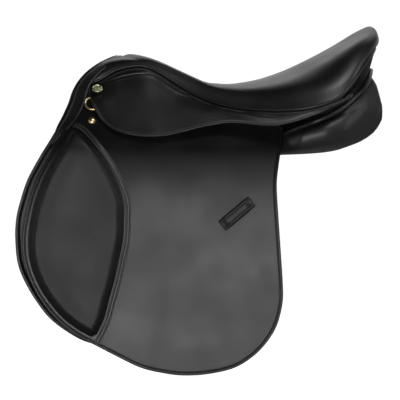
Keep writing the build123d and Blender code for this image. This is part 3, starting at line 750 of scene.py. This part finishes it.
# The other edge of each half: round the cut-back notch, then along the middle and over the cantle
NOTCH = [(-212, 116, 44), (-203, 128, 40), (-190, 138, 33), (-178, 144.5, 23), (-170, 147.5, 12),
         (-166, 149, 0)]
MIDDLE = [
    (-166, 149, 0), (-157, 153.8, 0), (-147, 156.5, 0), (-129, 153.5, 0), (-110, 147, 0),
    (-91.5, 138, 0), (-73, 129, 0), (-54, 119, 0),
    (-36, 113, 0), (-17, 111, 0), (1.5, 110, 0), (20, 111.6, 0), (39, 114.7, 0), (57, 119, 0),
    (85, 128.7, 0), (113, 141, 0),
    (141, 155, 0), (169, 170.5, 0), (197, 187.6, 0), (215.5, 197, 0), (225, 199.5, 0), (232.5, 195, 0),
    (235.6, 185, 0),
    (234, 169, 0),
]


def xzw(points):
    """(x, z, distance out) to (x, -distance, z), the near side."""
    p = np.asarray(points, float)
    return np.stack([p[:, 0], -p[:, 2], p[:, 1]], 1)


def seat_half(rows, cols):
    """The near half of the seat: rows from the front to the cantle, cols from the seam to the middle."""
    seam_line = curve(xzw(SEAM), 900)
    notch_line = curve(xzw(NOTCH), 300)
    middle_line = curve(xzw(MIDDLE), 900)
    t = np.linspace(0, 1, rows)
    seam = np.stack([np.interp(t, np.linspace(0, 1, 900), seam_line[:, k]) for k in range(3)], 1)
    # along the notch while share is under 1, along the middle from there to 2
    share = pchip([0.0, 0.06, 0.12, 0.18, 0.3, 0.5, 0.7, 0.85, 1.0],
                  [0.0, 0.5, 0.85, 1.03, 1.17, 1.42, 1.64, 1.82, 2.0], t)
    both = np.vstack([notch_line, middle_line[1:]])
    where = np.concatenate([np.linspace(0, 1, 300), np.linspace(1, 2, 900)[1:]])
    inner = np.stack([np.interp(share, where, both[:, k]) for k in range(3)], 1)
    chord = np.linalg.norm(seam - inner, axis=1)
    # directions in which each section leaves its two ends
    leave = np.zeros((rows, 3))
    leave[:, 1] = -pchip([0, 0.1, 0.2, 0.4, 0.6, 0.8, 0.9, 1.0], [0.25, 0.22, 0.2, 0.12, 0.1, 0.35, 0.6,
                                                            0.3], t)
    leave[:, 0] = pchip([0, 0.1, 0.6, 0.78, 0.9, 1.0], [-0.15, -0.05, 0.0, 0.2, 0.7, 1.0], t)
    leave[:, 2] = pchip([0, 0.5, 0.8, 0.92, 1.0], [1.0, 1.0, 0.95, 0.75, 0.55], t)
    leave /= np.linalg.norm(leave, axis=1)[:, None]
    meet = np.zeros((rows, 3))
    meet[:, 1] = -1.0
    meet[:, 2] = pchip([0, 0.06, 0.14, 0.2, 1.0], [0.5, 0.35, 0.12, 0.0, 0.0], t)
    meet[:, 0] = pchip([0, 0.08, 0.24, 1.0], [-0.35, -0.4, 0.0, 0.0], t)
    meet /= np.linalg.norm(meet, axis=1)[:, None]
    height = np.abs(inner[:, 2] - seam[:, 2])
    reach_up = pchip([0, 0.15, 0.5, 0.8, 0.93, 1.0], [0.5, 0.5, 0.62, 0.5, 0.5, 0.4], t)
    reach_up = reach_up * np.minimum(chord, 1.25 * height + 12)
    reach_in = pchip([0, 0.2, 0.5, 0.85, 1.0], [0.35, 0.5, 0.52, 0.55, 0.4], t) * chord
    v = np.linspace(0, 1, cols)
    v = (0.55 * v + 0.45 * v**1.6)[None, :, None]
    p0, p3 = seam[:, None], inner[:, None]
    p1 = (seam + leave * reach_up[:, None])[:, None]
    p2 = (inner + meet * reach_in[:, None])[:, None]
    grid = (1 - v)**3 * p0 + 3 * (1 - v)**2 * v * p1 + 3 * (1 - v) * v**2 * p2 + v**3 * p3
    # the cover flares out into its welt
    flare = pchip([0, 0.15, 0.3, 0.5, 0.8, 0.9, 1.0], [1.5, 2.0, 3.0, 5.0, 5.0, 2.5, 0.5], t)
    step = np.linalg.norm(np.diff(grid, axis=1), axis=2)
    run = np.concatenate([np.zeros((rows, 1)), np.cumsum(step, 1)], 1)
    pull = (1 - np.exp(-run / 7.0)) * flare[:, None]
    grid[..., 1] += pull * np.linspace(1, 0, cols)[None] ** 0.5
    grid[:, -1, 1] = inner[:, 1]
    return grid


def blurred(field):
    """Each value moved half way to the mean of its four neighbours."""
    wide = np.pad(field, 1, mode="edge")
    mean = (wide[:-2, 1:-1] + wide[2:, 1:-1] + wide[1:-1, :-2] + wide[1:-1, 2:]) / 4
    return field + 0.5 * (mean - field)


def over_padding(grid, depth=7.0):
    """The near half of the cover, swelled softly where it would lie deeper than depth inside the padding."""
    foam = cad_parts["seat_foam"]
    mesh = foam.data
    place = foam.matrix_world
    corners = [place @ v.co for v in mesh.vertices]
    tree = BVHTree.FromPolygons(corners, [tuple(f.vertices) for f in mesh.polygons])
    widening, softening, smoothing = 60, 30, 36
    grid = grid.copy()
    for _ in range(2):
        outward = np.cross(np.gradient(grid, axis=1), np.gradient(grid, axis=0))
        outward *= np.sign(outward[len(grid) // 2, -2, 2])
        outward /= np.maximum(np.linalg.norm(outward, axis=2), 1e-6)[..., None]
        need = np.zeros(grid.shape[:2])
        for r in range(grid.shape[0]):
            for c in range(1, grid.shape[1]):
                point = Vector(grid[r, c] * MM)
                near, normal, _, far = tree.find_nearest(point)
                if near is not None and far < 0.03:
                    need[r, c] = max(-depth - (point - near).dot(normal) / MM, 0)
        swell = need
        for _ in range(widening):
            swell = np.maximum(blurred(swell), need)
        for _ in range(softening):
            swell = blurred(swell)
        swell[:, 0] = 0
        swell[:, 1] *= 0.4
        swell[:, 2] *= 0.8
        front = int(0.2 * len(grid))
        swell[:front] *= ease(np.arange(front), 0, 0.2 * len(grid))[:, None]
        edge = grid[:, -1, 1].copy()
        grid += outward * swell[..., None]
        grid[:, -1, 1] = edge
    # smoothed, but less and less toward the middle, where the two halves meet level
    firm = 0.4 * (1 - ease(np.linspace(0, 1, grid.shape[1])[1:-1], 0.45, 0.85))[None, :, None]
    for _ in range(smoothing):
        inner = grid[1:-1, 1:-1]
        around = grid[:-2, 1:-1] + grid[2:, 1:-1] + grid[1:-1, :-2] + grid[1:-1, 2:]
        inner += firm * (around / 4 - inner)
    return grid


def build_seat():
    rows, cols = 190, 46
    near_half = over_padding(seat_half(rows, cols))
    tuck = near_half[:, :1] + np.array([0, 3.0, -6.5])
    near_half = np.concatenate([tuck, near_half], 1)
    cols += 1
    off_half = mirrored(near_half, 1.0)[:, ::-1]
    top = np.concatenate([near_half, off_half], 1)
    width = top.shape[1]
    under = top.copy()
    du, dv = np.gradient(top, axis=0), np.gradient(top, axis=1)
    normal = np.cross(dv, du)
    size = np.linalg.norm(normal, axis=2)[..., None]
    normal = np.where(size > 1e-6, normal / np.maximum(size, 1e-6), 0)
    if normal[rows // 2, width // 2, 2] < 0:
        normal = -normal
    under -= normal * 2.6
    verts = np.concatenate([top.reshape(-1, 3), under.reshape(-1, 3)])
    n = rows * width
    front_join = int(0.17 * rows)
    faces = []
    for r in range(rows - 1):
        for c in range(width - 1):
            if c == cols - 1 and r < front_join:
                continue
            a = r * width + c
            faces.append((a, a + 1, a + width + 1, a + width))
    back = [tuple(n + i for i in f[::-1]) for f in faces]
    edge_count = {}
    for f in faces:
        for a, b in zip(f, f[1:] + f[:1]):
            edge_count[(a, b)] = edge_count.get((a, b), 0) + 1
    rim = [(b, a, n + a, n + b) for (a, b) in edge_count if (b, a) not in edge_count]
    seat = make_mesh("seat_cover_leather", verts, faces + back + rim, SEAT)
    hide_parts("seat_cover", "seat_foam")
    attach(seat, "saddle")


def build_welts():
    line = curve(xzw(SEAM), 420)
    outward = np.tile([0.0, -1.0, 0.35], (len(line), 1))
    for side_name, side in SIDES.items():
        # the two welts stop short of meeting behind the cantle
        path = mirrored(line + outward * 0.9 - np.array([0, 0, 1.6]), side)[:395]
        welt = tube(f"{side_name}_seat_piping", path, 1.9, WELT, 12)
        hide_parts(f"{side_name}_seat_welt")
        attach(welt, "saddle")


# ---------------------------------------------------------------- skirts

# The skirt across the saddle, by station along X: (height, distance out) from the seam down to the lower edge
SKIRT_ROWS = [
    (-212, [(112, 48), (96, 62), (84, 74), (70, 86)]),
    (-190, [(118, 50), (100, 68), (84, 84), (54, 98)]),
    (-165, [(129, 54), (108, 71), (84, 86), (36, 113)]),
    (-132, [(136, 59), (108, 78), (79.7, 92.5), (28, 121)]),
    (-100, [(125, 63), (100, 83), (76, 97), (28, 124)]),
    (-60, [(99, 75), (84, 91), (71, 104), (34, 124)]),
    (-20, [(81, 93), (72, 104), (66, 111), (44, 122)]),
    (30, [(70, 115), (62, 122), (54, 125), (44, 127)]),
    (70, [(67, 131), (58, 136), (50, 137), (41, 136)]),
    (110, [(68, 143), (60, 146), (52, 146), (42, 143)]),
    (145, [(74, 146), (68, 149), (60, 147), (50, 142)]),
    (178, [(92, 137), (84, 139), (76, 137), (68, 130)]),
    (212, [(124, 108), (114, 104), (104, 100), (92, 94)]),
]
# Behind the seam the skirt narrows to a tail that runs up beside the piping
SKIRT_TAIL = [(164, 79), (176, 83), (187, 88.5), (195, 94)]
SKIRT_LOWER = [
    (-212, 90), (-203, 74), (-190, 54), (-171, 38.6), (-150, 31.6), (-121, 27.9), (-91.5, 29.5),
    (-62, 35.7), (-38.8, 41.9),
    (-18.6, 45.6), (0.8, 48.5), (20, 48), (40, 45.6), (60, 43.4), (80, 43.4), (99, 47.4), (119, 53.5),
    (139.5, 60.5),
    (160, 69), (178, 77.5), (189, 85), (196, 91.5),
]
# The raised seam that runs a finger's width under the top edge of the skirt
SKIRT_CREASE = [
    (-198, 104), (-184, 110), (-170.5, 116), (-147, 122.4), (-116, 124), (-101, 117.8), (-70, 97.6),
    (-38.8, 90.7), (-7.8, 72.8),
    (23, 65), (54, 59), (84.6, 56.8),
]


def skirt_width(x, z):
    """Distance out of the skirt's outside at a point of the side view."""
    x, z = np.atleast_1d(np.asarray(x, float)), np.atleast_1d(np.asarray(z, float))
    stations = np.array([s[0] for s in SKIRT_ROWS], float)
    table = np.array([s[1] for s in SKIRT_ROWS], float)
    zs = np.stack([pchip(stations, table[:, k, 0], x) for k in range(4)], 1)
    ws = np.stack([pchip(stations, table[:, k, 1], x) for k in range(4)], 1)
    out = np.empty(len(x))
    for i in range(len(x)):
        a, b = zs[i, ::-1], ws[i, ::-1]
        if z[i] <= a[0]:
            out[i] = b[0] + (b[1] - b[0]) / (a[1] - a[0]) * (z[i] - a[0])
        elif z[i] >= a[-1]:
            out[i] = b[-1] + (b[-1] - b[-2]) / (a[-1] - a[-2]) * (z[i] - a[-1])
        else:
            out[i] = pchip(a, b, z[i])
    return out


def skirt_place(side):
    def place(x, z, h):
        x, z = np.broadcast_arrays(np.asarray(x, float), np.asarray(z, float))
        w = skirt_width(x.ravel(), z.ravel())
        slope = (skirt_width(x.ravel(), z.ravel() + 1) - w)
        n = np.sqrt(1 + slope**2)
        return np.stack([x.ravel(), side * (w + h / n), z.ravel() - h * slope / n], -1)
    return place


def build_skirt(side_name):
    side = SIDES[side_name]
    place = skirt_place(side)
    seam = curve([(x, z - 3.6) for x, z, _ in SEAM if x < 160] + SKIRT_TAIL, 240)
    lower = curve(SKIRT_LOWER, 220)
    ring = np.vstack([lower, resample(np.vstack([lower[-1], seam[-1]]), 10)[1:-1], seam[::-1],
                      resample(np.vstack([seam[0], lower[0]]), 10)[1:-1]])
    ring = resample(np.vstack([ring, ring[:1]]), 420, closed=True)
    front = [(0.0, -1.5), (0.15, -0.8), (0.6, -0.2), (1.4, 0.0), (2.4, 0.0), (2.9, -0.35), (3.4, -0.4),
             (3.9, -0.05), (5.0, 0.0)]
    back = [(0.2, -2.2), (0.8, -2.85), (1.6, -3.0)]
    crease = curve(SKIRT_CREASE, 260)
    left, right = crease[:, 0].min(), crease[:, 0].max()

    def seam_rise(x, z, d):
        away = distance_to(np.stack([x, z], 1), crease)
        fade = ease(x, left, left + 25) * (1 - ease(x, right - 40, right))
        ridge = 1.1 * np.exp(-((away - 2.6) / 1.5) ** 2) - 1.0 * np.exp(-(away / 0.9) ** 2)
        return ridge * fade * ease(d, 1.0, 5.0)

    skirt = leather_sheet(f"{side_name}_skirt_leather", ring, place, front, back, SKIRT, seam_rise, 4.0,
                          [(crease, (-5, -3.8, -2.6, -1.6, -0.8, 0, 0.8, 1.6, 2.6, 3.8, 5))])
    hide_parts(f"{side_name}_skirt", f"{side_name}_skirt_top")
    lift_skirt(skirt, side_name)
    edge = offset_ring(turned_left(ring), 3.15)
    path = place(edge[:, 0], edge[:, 1], -0.3)
    outward = place(edge[:, 0], edge[:, 1], 5.0) - path
    stitches = bead_line(f"{side_name}_skirt_stitches", path, outward, THREAD)
    lift_skirt(stitches, side_name)


def lift_skirt(piece, side_name):
    """Works out the skirt's fold direction, which is not used, and bakes the piece's transform into its mesh.
    """
    side = SIDES[side_name]
    across = np.array([0, side * 26.8, -46.4])
    across = across / np.linalg.norm(across)
    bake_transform(piece)


# ---------------------------------------------------------------- panel and rear

PANEL_ROWS = [
    # x, then (distance out, height) of: channel top, top, outer shoulder, widest, outer foot, bottom, inner
    # foot and channel
    (-208, [(36, 92), (40, 88), (50, 60), (60, 22), (66, -8), (60, -18), (49, -12), (39, 40)]),
    (-170, [(35, 88), (41, 82), (53, 52), (63, 14), (70, -10), (62, -20), (48, -12), (36, 40)]),
    (-110, [(35, 74), (46, 70), (62, 50), (76, 22), (85, -8), (74, -18), (52, -2), (35, 34)]),
    (-40, [(35, 61), (50, 61), (68, 48), (81, 22), (86, 0), (74, -8), (50, 2), (35, 28)]),
    (40, [(35, 54), (54, 55), (74, 42), (84, 22), (86, 6), (74, -2), (50, 2), (35, 26)]),
    (90, [(35, 52), (62, 50), (95, 32), (104, 20), (103, 8), (82, 1), (52, 4), (35, 27)]),
    (120, [(35, 52), (68, 50), (117, 40), (128, 28), (120, 9), (86, 2), (54, 6), (35, 28)]),
    (150, [(35, 58), (66, 58), (118, 50), (130, 34), (120, 13), (88, 4), (56, 10), (35, 32)]),
    (180, [(35, 78), (70, 79), (106, 68), (120, 42), (110, 20), (84, 9), (56, 18), (35, 44)]),
    (205, [(33, 100), (56, 103), (84, 90), (98, 58), (90, 30), (72, 18.5), (52, 30), (34, 60)]),
    (224, [(33, 115), (42, 120), (58, 108), (74, 76), (70, 44), (60, 30), (48, 44), (36, 76)]),
    (234, [(36, 104), (44, 107), (52, 98), (60, 72), (58, 50), (54, 40), (46, 50), (38, 74)]),
    (241, [(42, 78), (46, 81), (50, 78), (53, 68), (52, 57), (49, 52), (46, 58), (42, 68)]),
]


def build_panel(side_name):
    side = SIDES[side_name]
    rows, cols = 130, 72
    stations = np.array([r[0] for r in PANEL_ROWS], float)
    table = np.array([r[1] for r in PANEL_ROWS], float)
    x = np.linspace(stations[0], stations[-1], rows)
    rings = np.stack([np.stack([pchip(stations, table[:, k, j], x) for k in range(8)],
                               1) for j in range(2)], 2)
    grid = []
    for xi, ring in zip(x, rings):
        loop = curve(ring, cols, closed=True)
        grid.append(np.stack([np.full(cols, xi), side * loop[:, 0], loop[:, 1]], 1))
    grid = np.array(grid)
    # a sewn seam along the widest line, where the gusset meets the bearing face
    for seam_at in (int(cols * 0.33), int(cols * 0.62)):
        dist = np.abs((np.arange(cols) - seam_at + cols / 2) % cols - cols / 2)
        centre = grid.mean(1)[:, None]
        grid += (centre - grid) * (0.035 * np.exp(-(dist / 1.1) ** 2))[None, :, None]
    front = grid[0].mean(0)
    back = grid[-1].mean(0)
    caps_front = np.array([front + (grid[0] - front) * k - np.array([s, 0, 0]) for k, s in ((0.45, 4.5),
                                                            (0.82, 3.0))])
    caps_back = np.array([back + (grid[-1] - back) * k + np.array([s, 0, 0]) for k, s in ((0.8, 1.0),
                                                            (0.4, 1.6))])
    grid = np.concatenate([caps_front, grid, caps_back])
    verts = np.vstack([grid.reshape(-1, 3), front - np.array([5, 0, 0]), back + np.array([1.8, 0, 0])])
    panel = make_mesh(f"{side_name}_panel_cushion", verts, pointed_faces(len(grid), cols), PANEL)
    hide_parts(f"{side_name}_panel")
    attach(panel, "saddle")


PIPING = [(80, 28, 86), (93, 32.5, 96), (118, 42.5, 116), (140, 51, 127), (163, 61, 122), (184, 74, 110),
          (202, 91, 92), (214, 103, 74),
          (222, 118, 48), (225, 128, 22), (226, 131, 0)]


def build_rear_piping():
    line = curve(xzw(PIPING), 120)
    full = np.vstack([line, mirrored(line, 1.0)[-2::-1]])
    full = resample(full, 200)
    roll = tube("rear_piping_roll", full, 3.8, WELT, 14)
    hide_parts("rear_piping")
    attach(roll, "saddle")


def build_cantle_facing():
    """The band over the back of the cantle, between the seat's seam and the piping."""
    top = curve(xzw(SEAM[-9:]), 90)
    full_top = np.vstack([top, mirrored(top, 1.0)[-2::-1]])
    full_top = resample(full_top, 160)
    bottom = curve(xzw([(118, 55, 136), (132, 53.5, 130), (148, 56, 124), (164, 60.5, 118),
                        (184, 74, 106), (202, 91, 89), (213, 104, 70),
                        (219, 118, 44), (221, 128, 20), (222, 131, 0)]), 90)
    full_bottom = resample(np.vstack([bottom, mirrored(bottom, 1.0)[-2::-1]]), 160)
    v = np.linspace(0, 1, 12)[None, :, None]
    outer = full_top[:, None] * (1 - v) + full_bottom[:, None] * v
    outward = outer - np.array([120.0, 0, 120.0])
    outward[..., 2] *= 0.2
    outward /= np.linalg.norm(outward, axis=2)[..., None]
    aside = ease(np.abs(np.linspace(-1, 1, 160)), 0.15, 0.6)[:, None, None]
    outer = outer - outward * ((11.0 * aside - 1.0) * np.sin(math.pi * v))
    inner = outer - outward * 2.0
    rows = np.concatenate([outer, inner[:, ::-1]], 1)
    # the facing's darkened, dull leather is painted shade for this recess
    facing = make_mesh("cantle_back_facing", rows.reshape(-1, 3), band_faces(*rows.shape[:2]), FACING_PAINTED_SHADE)
    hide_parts("cantle_facing")
    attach(facing, "saddle")


# ---------------------------------------------------------------- pommel

FRONT_ROLL = [(-268, 16, 94), (-256, 39, 87), (-246, 56, 78), (-236, 78, 68), (-230, 97, 59),
              (-222, 112, 52), (-210, 126, 43), (-196, 137, 33),
              (-184, 144, 22), (-172, 149.5, 11), (-166, 151.3, 0)]
# The facing's section: share of its half width, from the outer edge to the edge under the seat, and height
FACING_SECTION = [
    (-1.0, -3.0), (-1.12, -0.5), (-1.0, 2.0), (-0.8, 3.4), (-0.55, 3.9), (-0.3, 3.3), (-0.12, 2.0),
    (-0.02, 1.3), (0.08, 1.9),
    (0.25, 2.4), (0.6, 2.2), (1.0, 1.2), (1.7, -0.8), (2.5, -3.4), (2.5, -5.0), (0.6, -2.6), (-0.4, -3.2),
]


def build_front_facing():
    """The leather facing over the front arch, with a roll along its outer edge."""
    line = curve(xzw(FRONT_ROLL), 110)
    full = resample(np.vstack([line, mirrored(line, 1.0)[-2::-1]]), 240)
    t = np.abs(np.linspace(-1, 1, 240))[:, None]
    half = pchip([0, 0.12, 0.4, 0.7, 0.88, 1.0], [4.5, 5.5, 8.0, 10.0, 6.5, 1.2], t[:, 0])[:, None, None]
    tangent = along(full)
    sideways = np.sign(full[:, 1:2])
    steep = ease(t, 0.0, 0.35)
    face = np.concatenate([-0.3 - 0.42 * steep, 0.45 * sideways * steep, 0.95 - 0.35 * steep], 1)
    face = unit(face - tangent * (face * tangent).sum(1)[:, None])
    inward = np.cross(tangent, face)
    inward *= np.sign(inward[:, :1])
    across = np.array([p[0] for p in FACING_SECTION])[None, :, None]
    thinner = (1 - 0.75 * ease(t, 0.8, 1.0))[:, None]
    high = np.array([p[1] for p in FACING_SECTION])[None, :, None] * thinner
    rings = full[:, None] + (inward * 2.0)[:, None] + inward[:, None] * across * half + face[:, None] * high
    facing = make_mesh("front_arch_facing", rings.reshape(-1, 3), band_faces(*rings.shape[:2]), WELT)
    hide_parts("front_facing")
    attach(facing, "saddle")


# ---------------------------------------------------------------- metal fittings

def lathe(name, centre, axis, profile, material, stretch=1.0, steps=40):
    """A turned piece: profile is (radius, height) from the middle out and back. stretch widens it in X."""
    axis = np.array(axis, float) / np.linalg.norm(axis)
    level = np.array([1.0, 0, 0])
    other = np.cross(axis, level)
    angle = np.linspace(0, 2 * math.pi, steps, endpoint=False)[None, :, None]
    r = np.array([p[0] for p in profile[1:-1]])[:, None, None]
    h = np.array([p[1] for p in profile[1:-1]])[:, None, None]
    centre = np.array(centre, float)
    rings = centre + level * np.cos(angle) * r * stretch + other * np.sin(angle) * r + axis * h
    verts = np.vstack([rings.reshape(-1, 3), centre + axis * profile[0][1], centre + axis * profile[-1][1]])
    return make_mesh(name, verts, pointed_faces(len(profile) - 2, steps), material)


def node_middle(name):
    low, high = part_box(name)
    return np.array([(a + b) / 2 for a, b in zip(low, high)]) / MM


def build_metal(side_name):
    side = SIDES[side_name]
    lean = math.atan(TOP_SPREAD)
    out = np.array([0, side * math.cos(lean), math.sin(lean)])
    nail = lathe(f"{side_name}_head_nail_dome", node_middle(f"{side_name}_head_nail") - out * 1.9, out,
                 [(0, 4.3), (2.0, 4.1), (3.8, 3.4), (5.2, 2.3), (6.1, 1.0), (6.4, 0.3), (6.4, -0.6),
                  (0, -0.8)], BRASS)
    stud = node_middle(f"{side_name}_pommel_stud")
    rim = lathe(f"{side_name}_stud_rim", stud - out * 0.6, out,
                [(0, 1.2), (5.4, 1.2), (5.9, 1.7), (6.3, 2.1), (6.8, 2.1), (7.3, 1.6), (7.5, 0.8),
                 (7.4, -0.6), (0, -0.8)], STUD_METAL, 1.1)
    dome = lathe(f"{side_name}_stud_face", stud - out * 0.5, out,
                 [(0, 2.6), (1.8, 2.5), (3.4, 2.2), (4.6, 1.8), (5.5, 1.25), (5.5, 0.6),
                  (0, 0.5)], STUD_FACE, 1.1)
    for piece, node in ((nail, "head_nail"), (rim, "pommel_stud"), (dome, "pommel_stud")):
        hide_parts(f"{side_name}_{node}")
        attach(piece, "saddle")
    # the dee, in its own plane: a half ring forward of its straight side
    x, z, lift, slant, radius = -204.0, 77.0, 3.2, math.radians(22.0), 11.5
    centre = np.array([x, side * (HINGE_W - TOP_SPREAD * (z - HINGE_Z)), z]) + out * lift
    up = np.array([0, -side * math.sin(lean), math.cos(lean)])
    level = np.array([1.0, 0, 0])
    across = level * math.cos(slant) + up * math.sin(slant)
    upright = up * math.cos(slant) - level * math.sin(slant)
    angle = np.linspace(math.pi / 2 + 0.12, 1.5 * math.pi - 0.12, 40)
    arc = [centre + across * radius * math.cos(a) + upright * radius * math.sin(a) for a in angle]
    straight = [centre + upright * radius * v for v in np.linspace(-0.93, 0.93, 16)]
    loop = np.array(arc + straight)
    loop = resample(np.vstack([loop, loop[:1]]), 110, closed=True)
    tangent = unit(np.roll(loop, -1, 0) - np.roll(loop, 1, 0))
    radial = np.cross(tangent, out)
    wire, sides = 1.75, 14
    a = np.linspace(0, 2 * math.pi, sides, endpoint=False)[None, :, None]
    rings = loop[:, None] + (radial[:, None] * np.cos(a) + out * np.sin(a)) * wire
    dee = make_mesh(f"{side_name}_dee_wire", rings.reshape(-1, 3), grid_faces(len(loop), sides, True,
                                                            True), BRASS)
    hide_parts(f"{side_name}_dee_ring")
    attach(dee, f"{side_name}_dee_ring")


# ---------------------------------------------------------------- CAD nodes that stay

def paint_kept_nodes():
    kinds = {
        WOOD: ["tree_frame"], SPRING: ["tree_springs", "tree_points", "head_plate", "gullet_plate"],
        STEEL: ["bar_rivets"], WEB: ["seat_webbing"], PANEL: ["channel_lining"],
    }
    pairs = {
        STEEL: ["stirrup_bar", "bar_catch"], WEB: ["front_web", "rear_web"],
        STRAP: ["front_billet", "middle_billet", "rear_billet", "buckle_guard", "dee_chape"],
        PANEL: ["point_pocket"],
    }
    for material, names in pairs.items():
        for side_name in SIDES:
            kinds.setdefault(material, []).extend(f"{side_name}_{n}" for n in names)
    for material, names in kinds.items():
        for name in names:
            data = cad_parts[name].data
            data.materials.clear()
            data.materials.append(material)


# ---------------------------------------------------------------- studio

def build_studio():
    view = bpy.data.cameras.new("camera")
    view.type = "PERSP"
    view.sensor_width = 36
    distance, field = 10.0, 0.620
    view.lens = 36 * distance / field
    view.clip_end = 60
    camera = bpy.data.objects.new("camera", view)
    camera.location = (-0.03875, -distance, -0.06975)
    camera.rotation_euler = (math.pi / 2, 0, 0)
    bpy.context.scene.collection.objects.link(camera)
    bpy.context.scene.camera = camera
    bpy.context.scene.view_settings.view_transform = "Standard"

    floor_mesh = bpy.data.meshes.new("floor")
    z = CAD_BOX[0][2] - 0.004
    floor_mesh.from_pydata([(-30, -30, z), (30, -30, z), (30, 30, z), (-30, 30, z)], [], [(0, 1, 2, 3)])
    floor = bpy.data.objects.new("floor", floor_mesh)
    bpy.context.scene.collection.objects.link(floor)
    pale = Nodes("pale_floor")
    shade = pale.noise(0.8, 2.0)
    seen = pale.add("ShaderNodeLightPath").outputs["Is Camera Ray"]
    pale.link(pale.math("MULTIPLY", seen, 0.95), pale.shader.inputs["Emission Strength"])
    pale.finish(pale.mix(shade, (0.42, 0.42, 0.42),
                         (0.46, 0.46, 0.46)), pale.spread(shade, 0.3, 0.7, 0.6, 0.7),
                Emission_Color=(1, 1, 1, 1))
    floor_mesh.materials.append(pale.material)

    world = bpy.data.worlds.new("studio")
    bpy.context.scene.world = world
    world.use_nodes = True
    tree = world.node_tree
    background = tree.nodes["Background"]
    path = tree.nodes.new("ShaderNodeLightPath")
    white = tree.nodes.new("ShaderNodeBackground")
    white.inputs["Color"].default_value = (1, 1, 1, 1)
    white.inputs["Strength"].default_value = 1.05
    background.inputs["Color"].default_value = (0.97, 0.98, 1.0, 1)
    # only the backdrop behind the saddle is bright, up to a modest height
    direction = tree.nodes.new("ShaderNodeSeparateXYZ")
    tree.links.new(tree.nodes.new("ShaderNodeTexCoord").outputs["Generated"], direction.inputs[0])
    behind, above, total = (tree.nodes.new(k) for k in ("ShaderNodeMapRange", "ShaderNodeMapRange",
                                                        "ShaderNodeMath"))
    for node, axis, values in ((behind, "Y", (0.35, 0.85, 0.05, 0.95)), (above, "Z", (0.3, 0.75, 1.0, 0.12))):
        for key, v in zip(("From Min", "From Max", "To Min", "To Max"), values):
            node.inputs[key].default_value = v
        tree.links.new(direction.outputs[axis], node.inputs["Value"])
    total.operation = "MULTIPLY"
    tree.links.new(behind.outputs["Result"], total.inputs[0])
    tree.links.new(above.outputs["Result"], total.inputs[1])
    tree.links.new(total.outputs[0], background.inputs["Strength"])
    mixer = tree.nodes.new("ShaderNodeMixShader")
    tree.links.new(path.outputs["Is Camera Ray"], mixer.inputs[0])
    tree.links.new(background.outputs[0], mixer.inputs[1])
    tree.links.new(white.outputs[0], mixer.inputs[2])
    tree.links.new(mixer.outputs[0], tree.nodes["World Output"].inputs["Surface"])

    def area(name, place, aim, size, power):
        light = bpy.data.lights.new(name, "AREA")
        light.shape = "RECTANGLE"
        light.size, light.size_y = size
        light.energy = power
        obj = bpy.data.objects.new(name, light)
        obj.location = place
        obj.rotation_euler = (Vector(aim) - Vector(place)).to_track_quat("-Z", "Y").to_euler()
        bpy.context.scene.collection.objects.link(obj)

    area("top_back", (0.1, 1.4, 1.5), (0, 0, 0.05), (1.8, 0.5), 6)
    area("top_front", (0.9, -1.5, 2.0), (0.1, 0, 0.05), (1.0, 0.5), 22)
    area("front_soft", (-0.2, -2.4, -0.5), (0, 0, -0.15), (1.6, 0.75), 104)
    area("side_left", (-2.0, -0.5, 0.3), (-0.1, 0, 0), (0.5, 1.2), 5)
    area("side_right", (2.0, -0.5, 0.6), (0.1, 0, 0), (0.5, 1.2), 8)


# ---------------------------------------------------------------- put together

build_studio()
build_seat()
build_welts()
build_rear_piping()
build_cantle_facing()
build_front_facing()
for name in SIDES:
    build_flap(name)
    build_knee_pad(name)
    build_knee_strip(name)
    build_sweat_flap(name)
    build_keeper(name)
    build_skirt(name)
    build_panel(name)
    build_metal(name)
paint_kept_nodes()
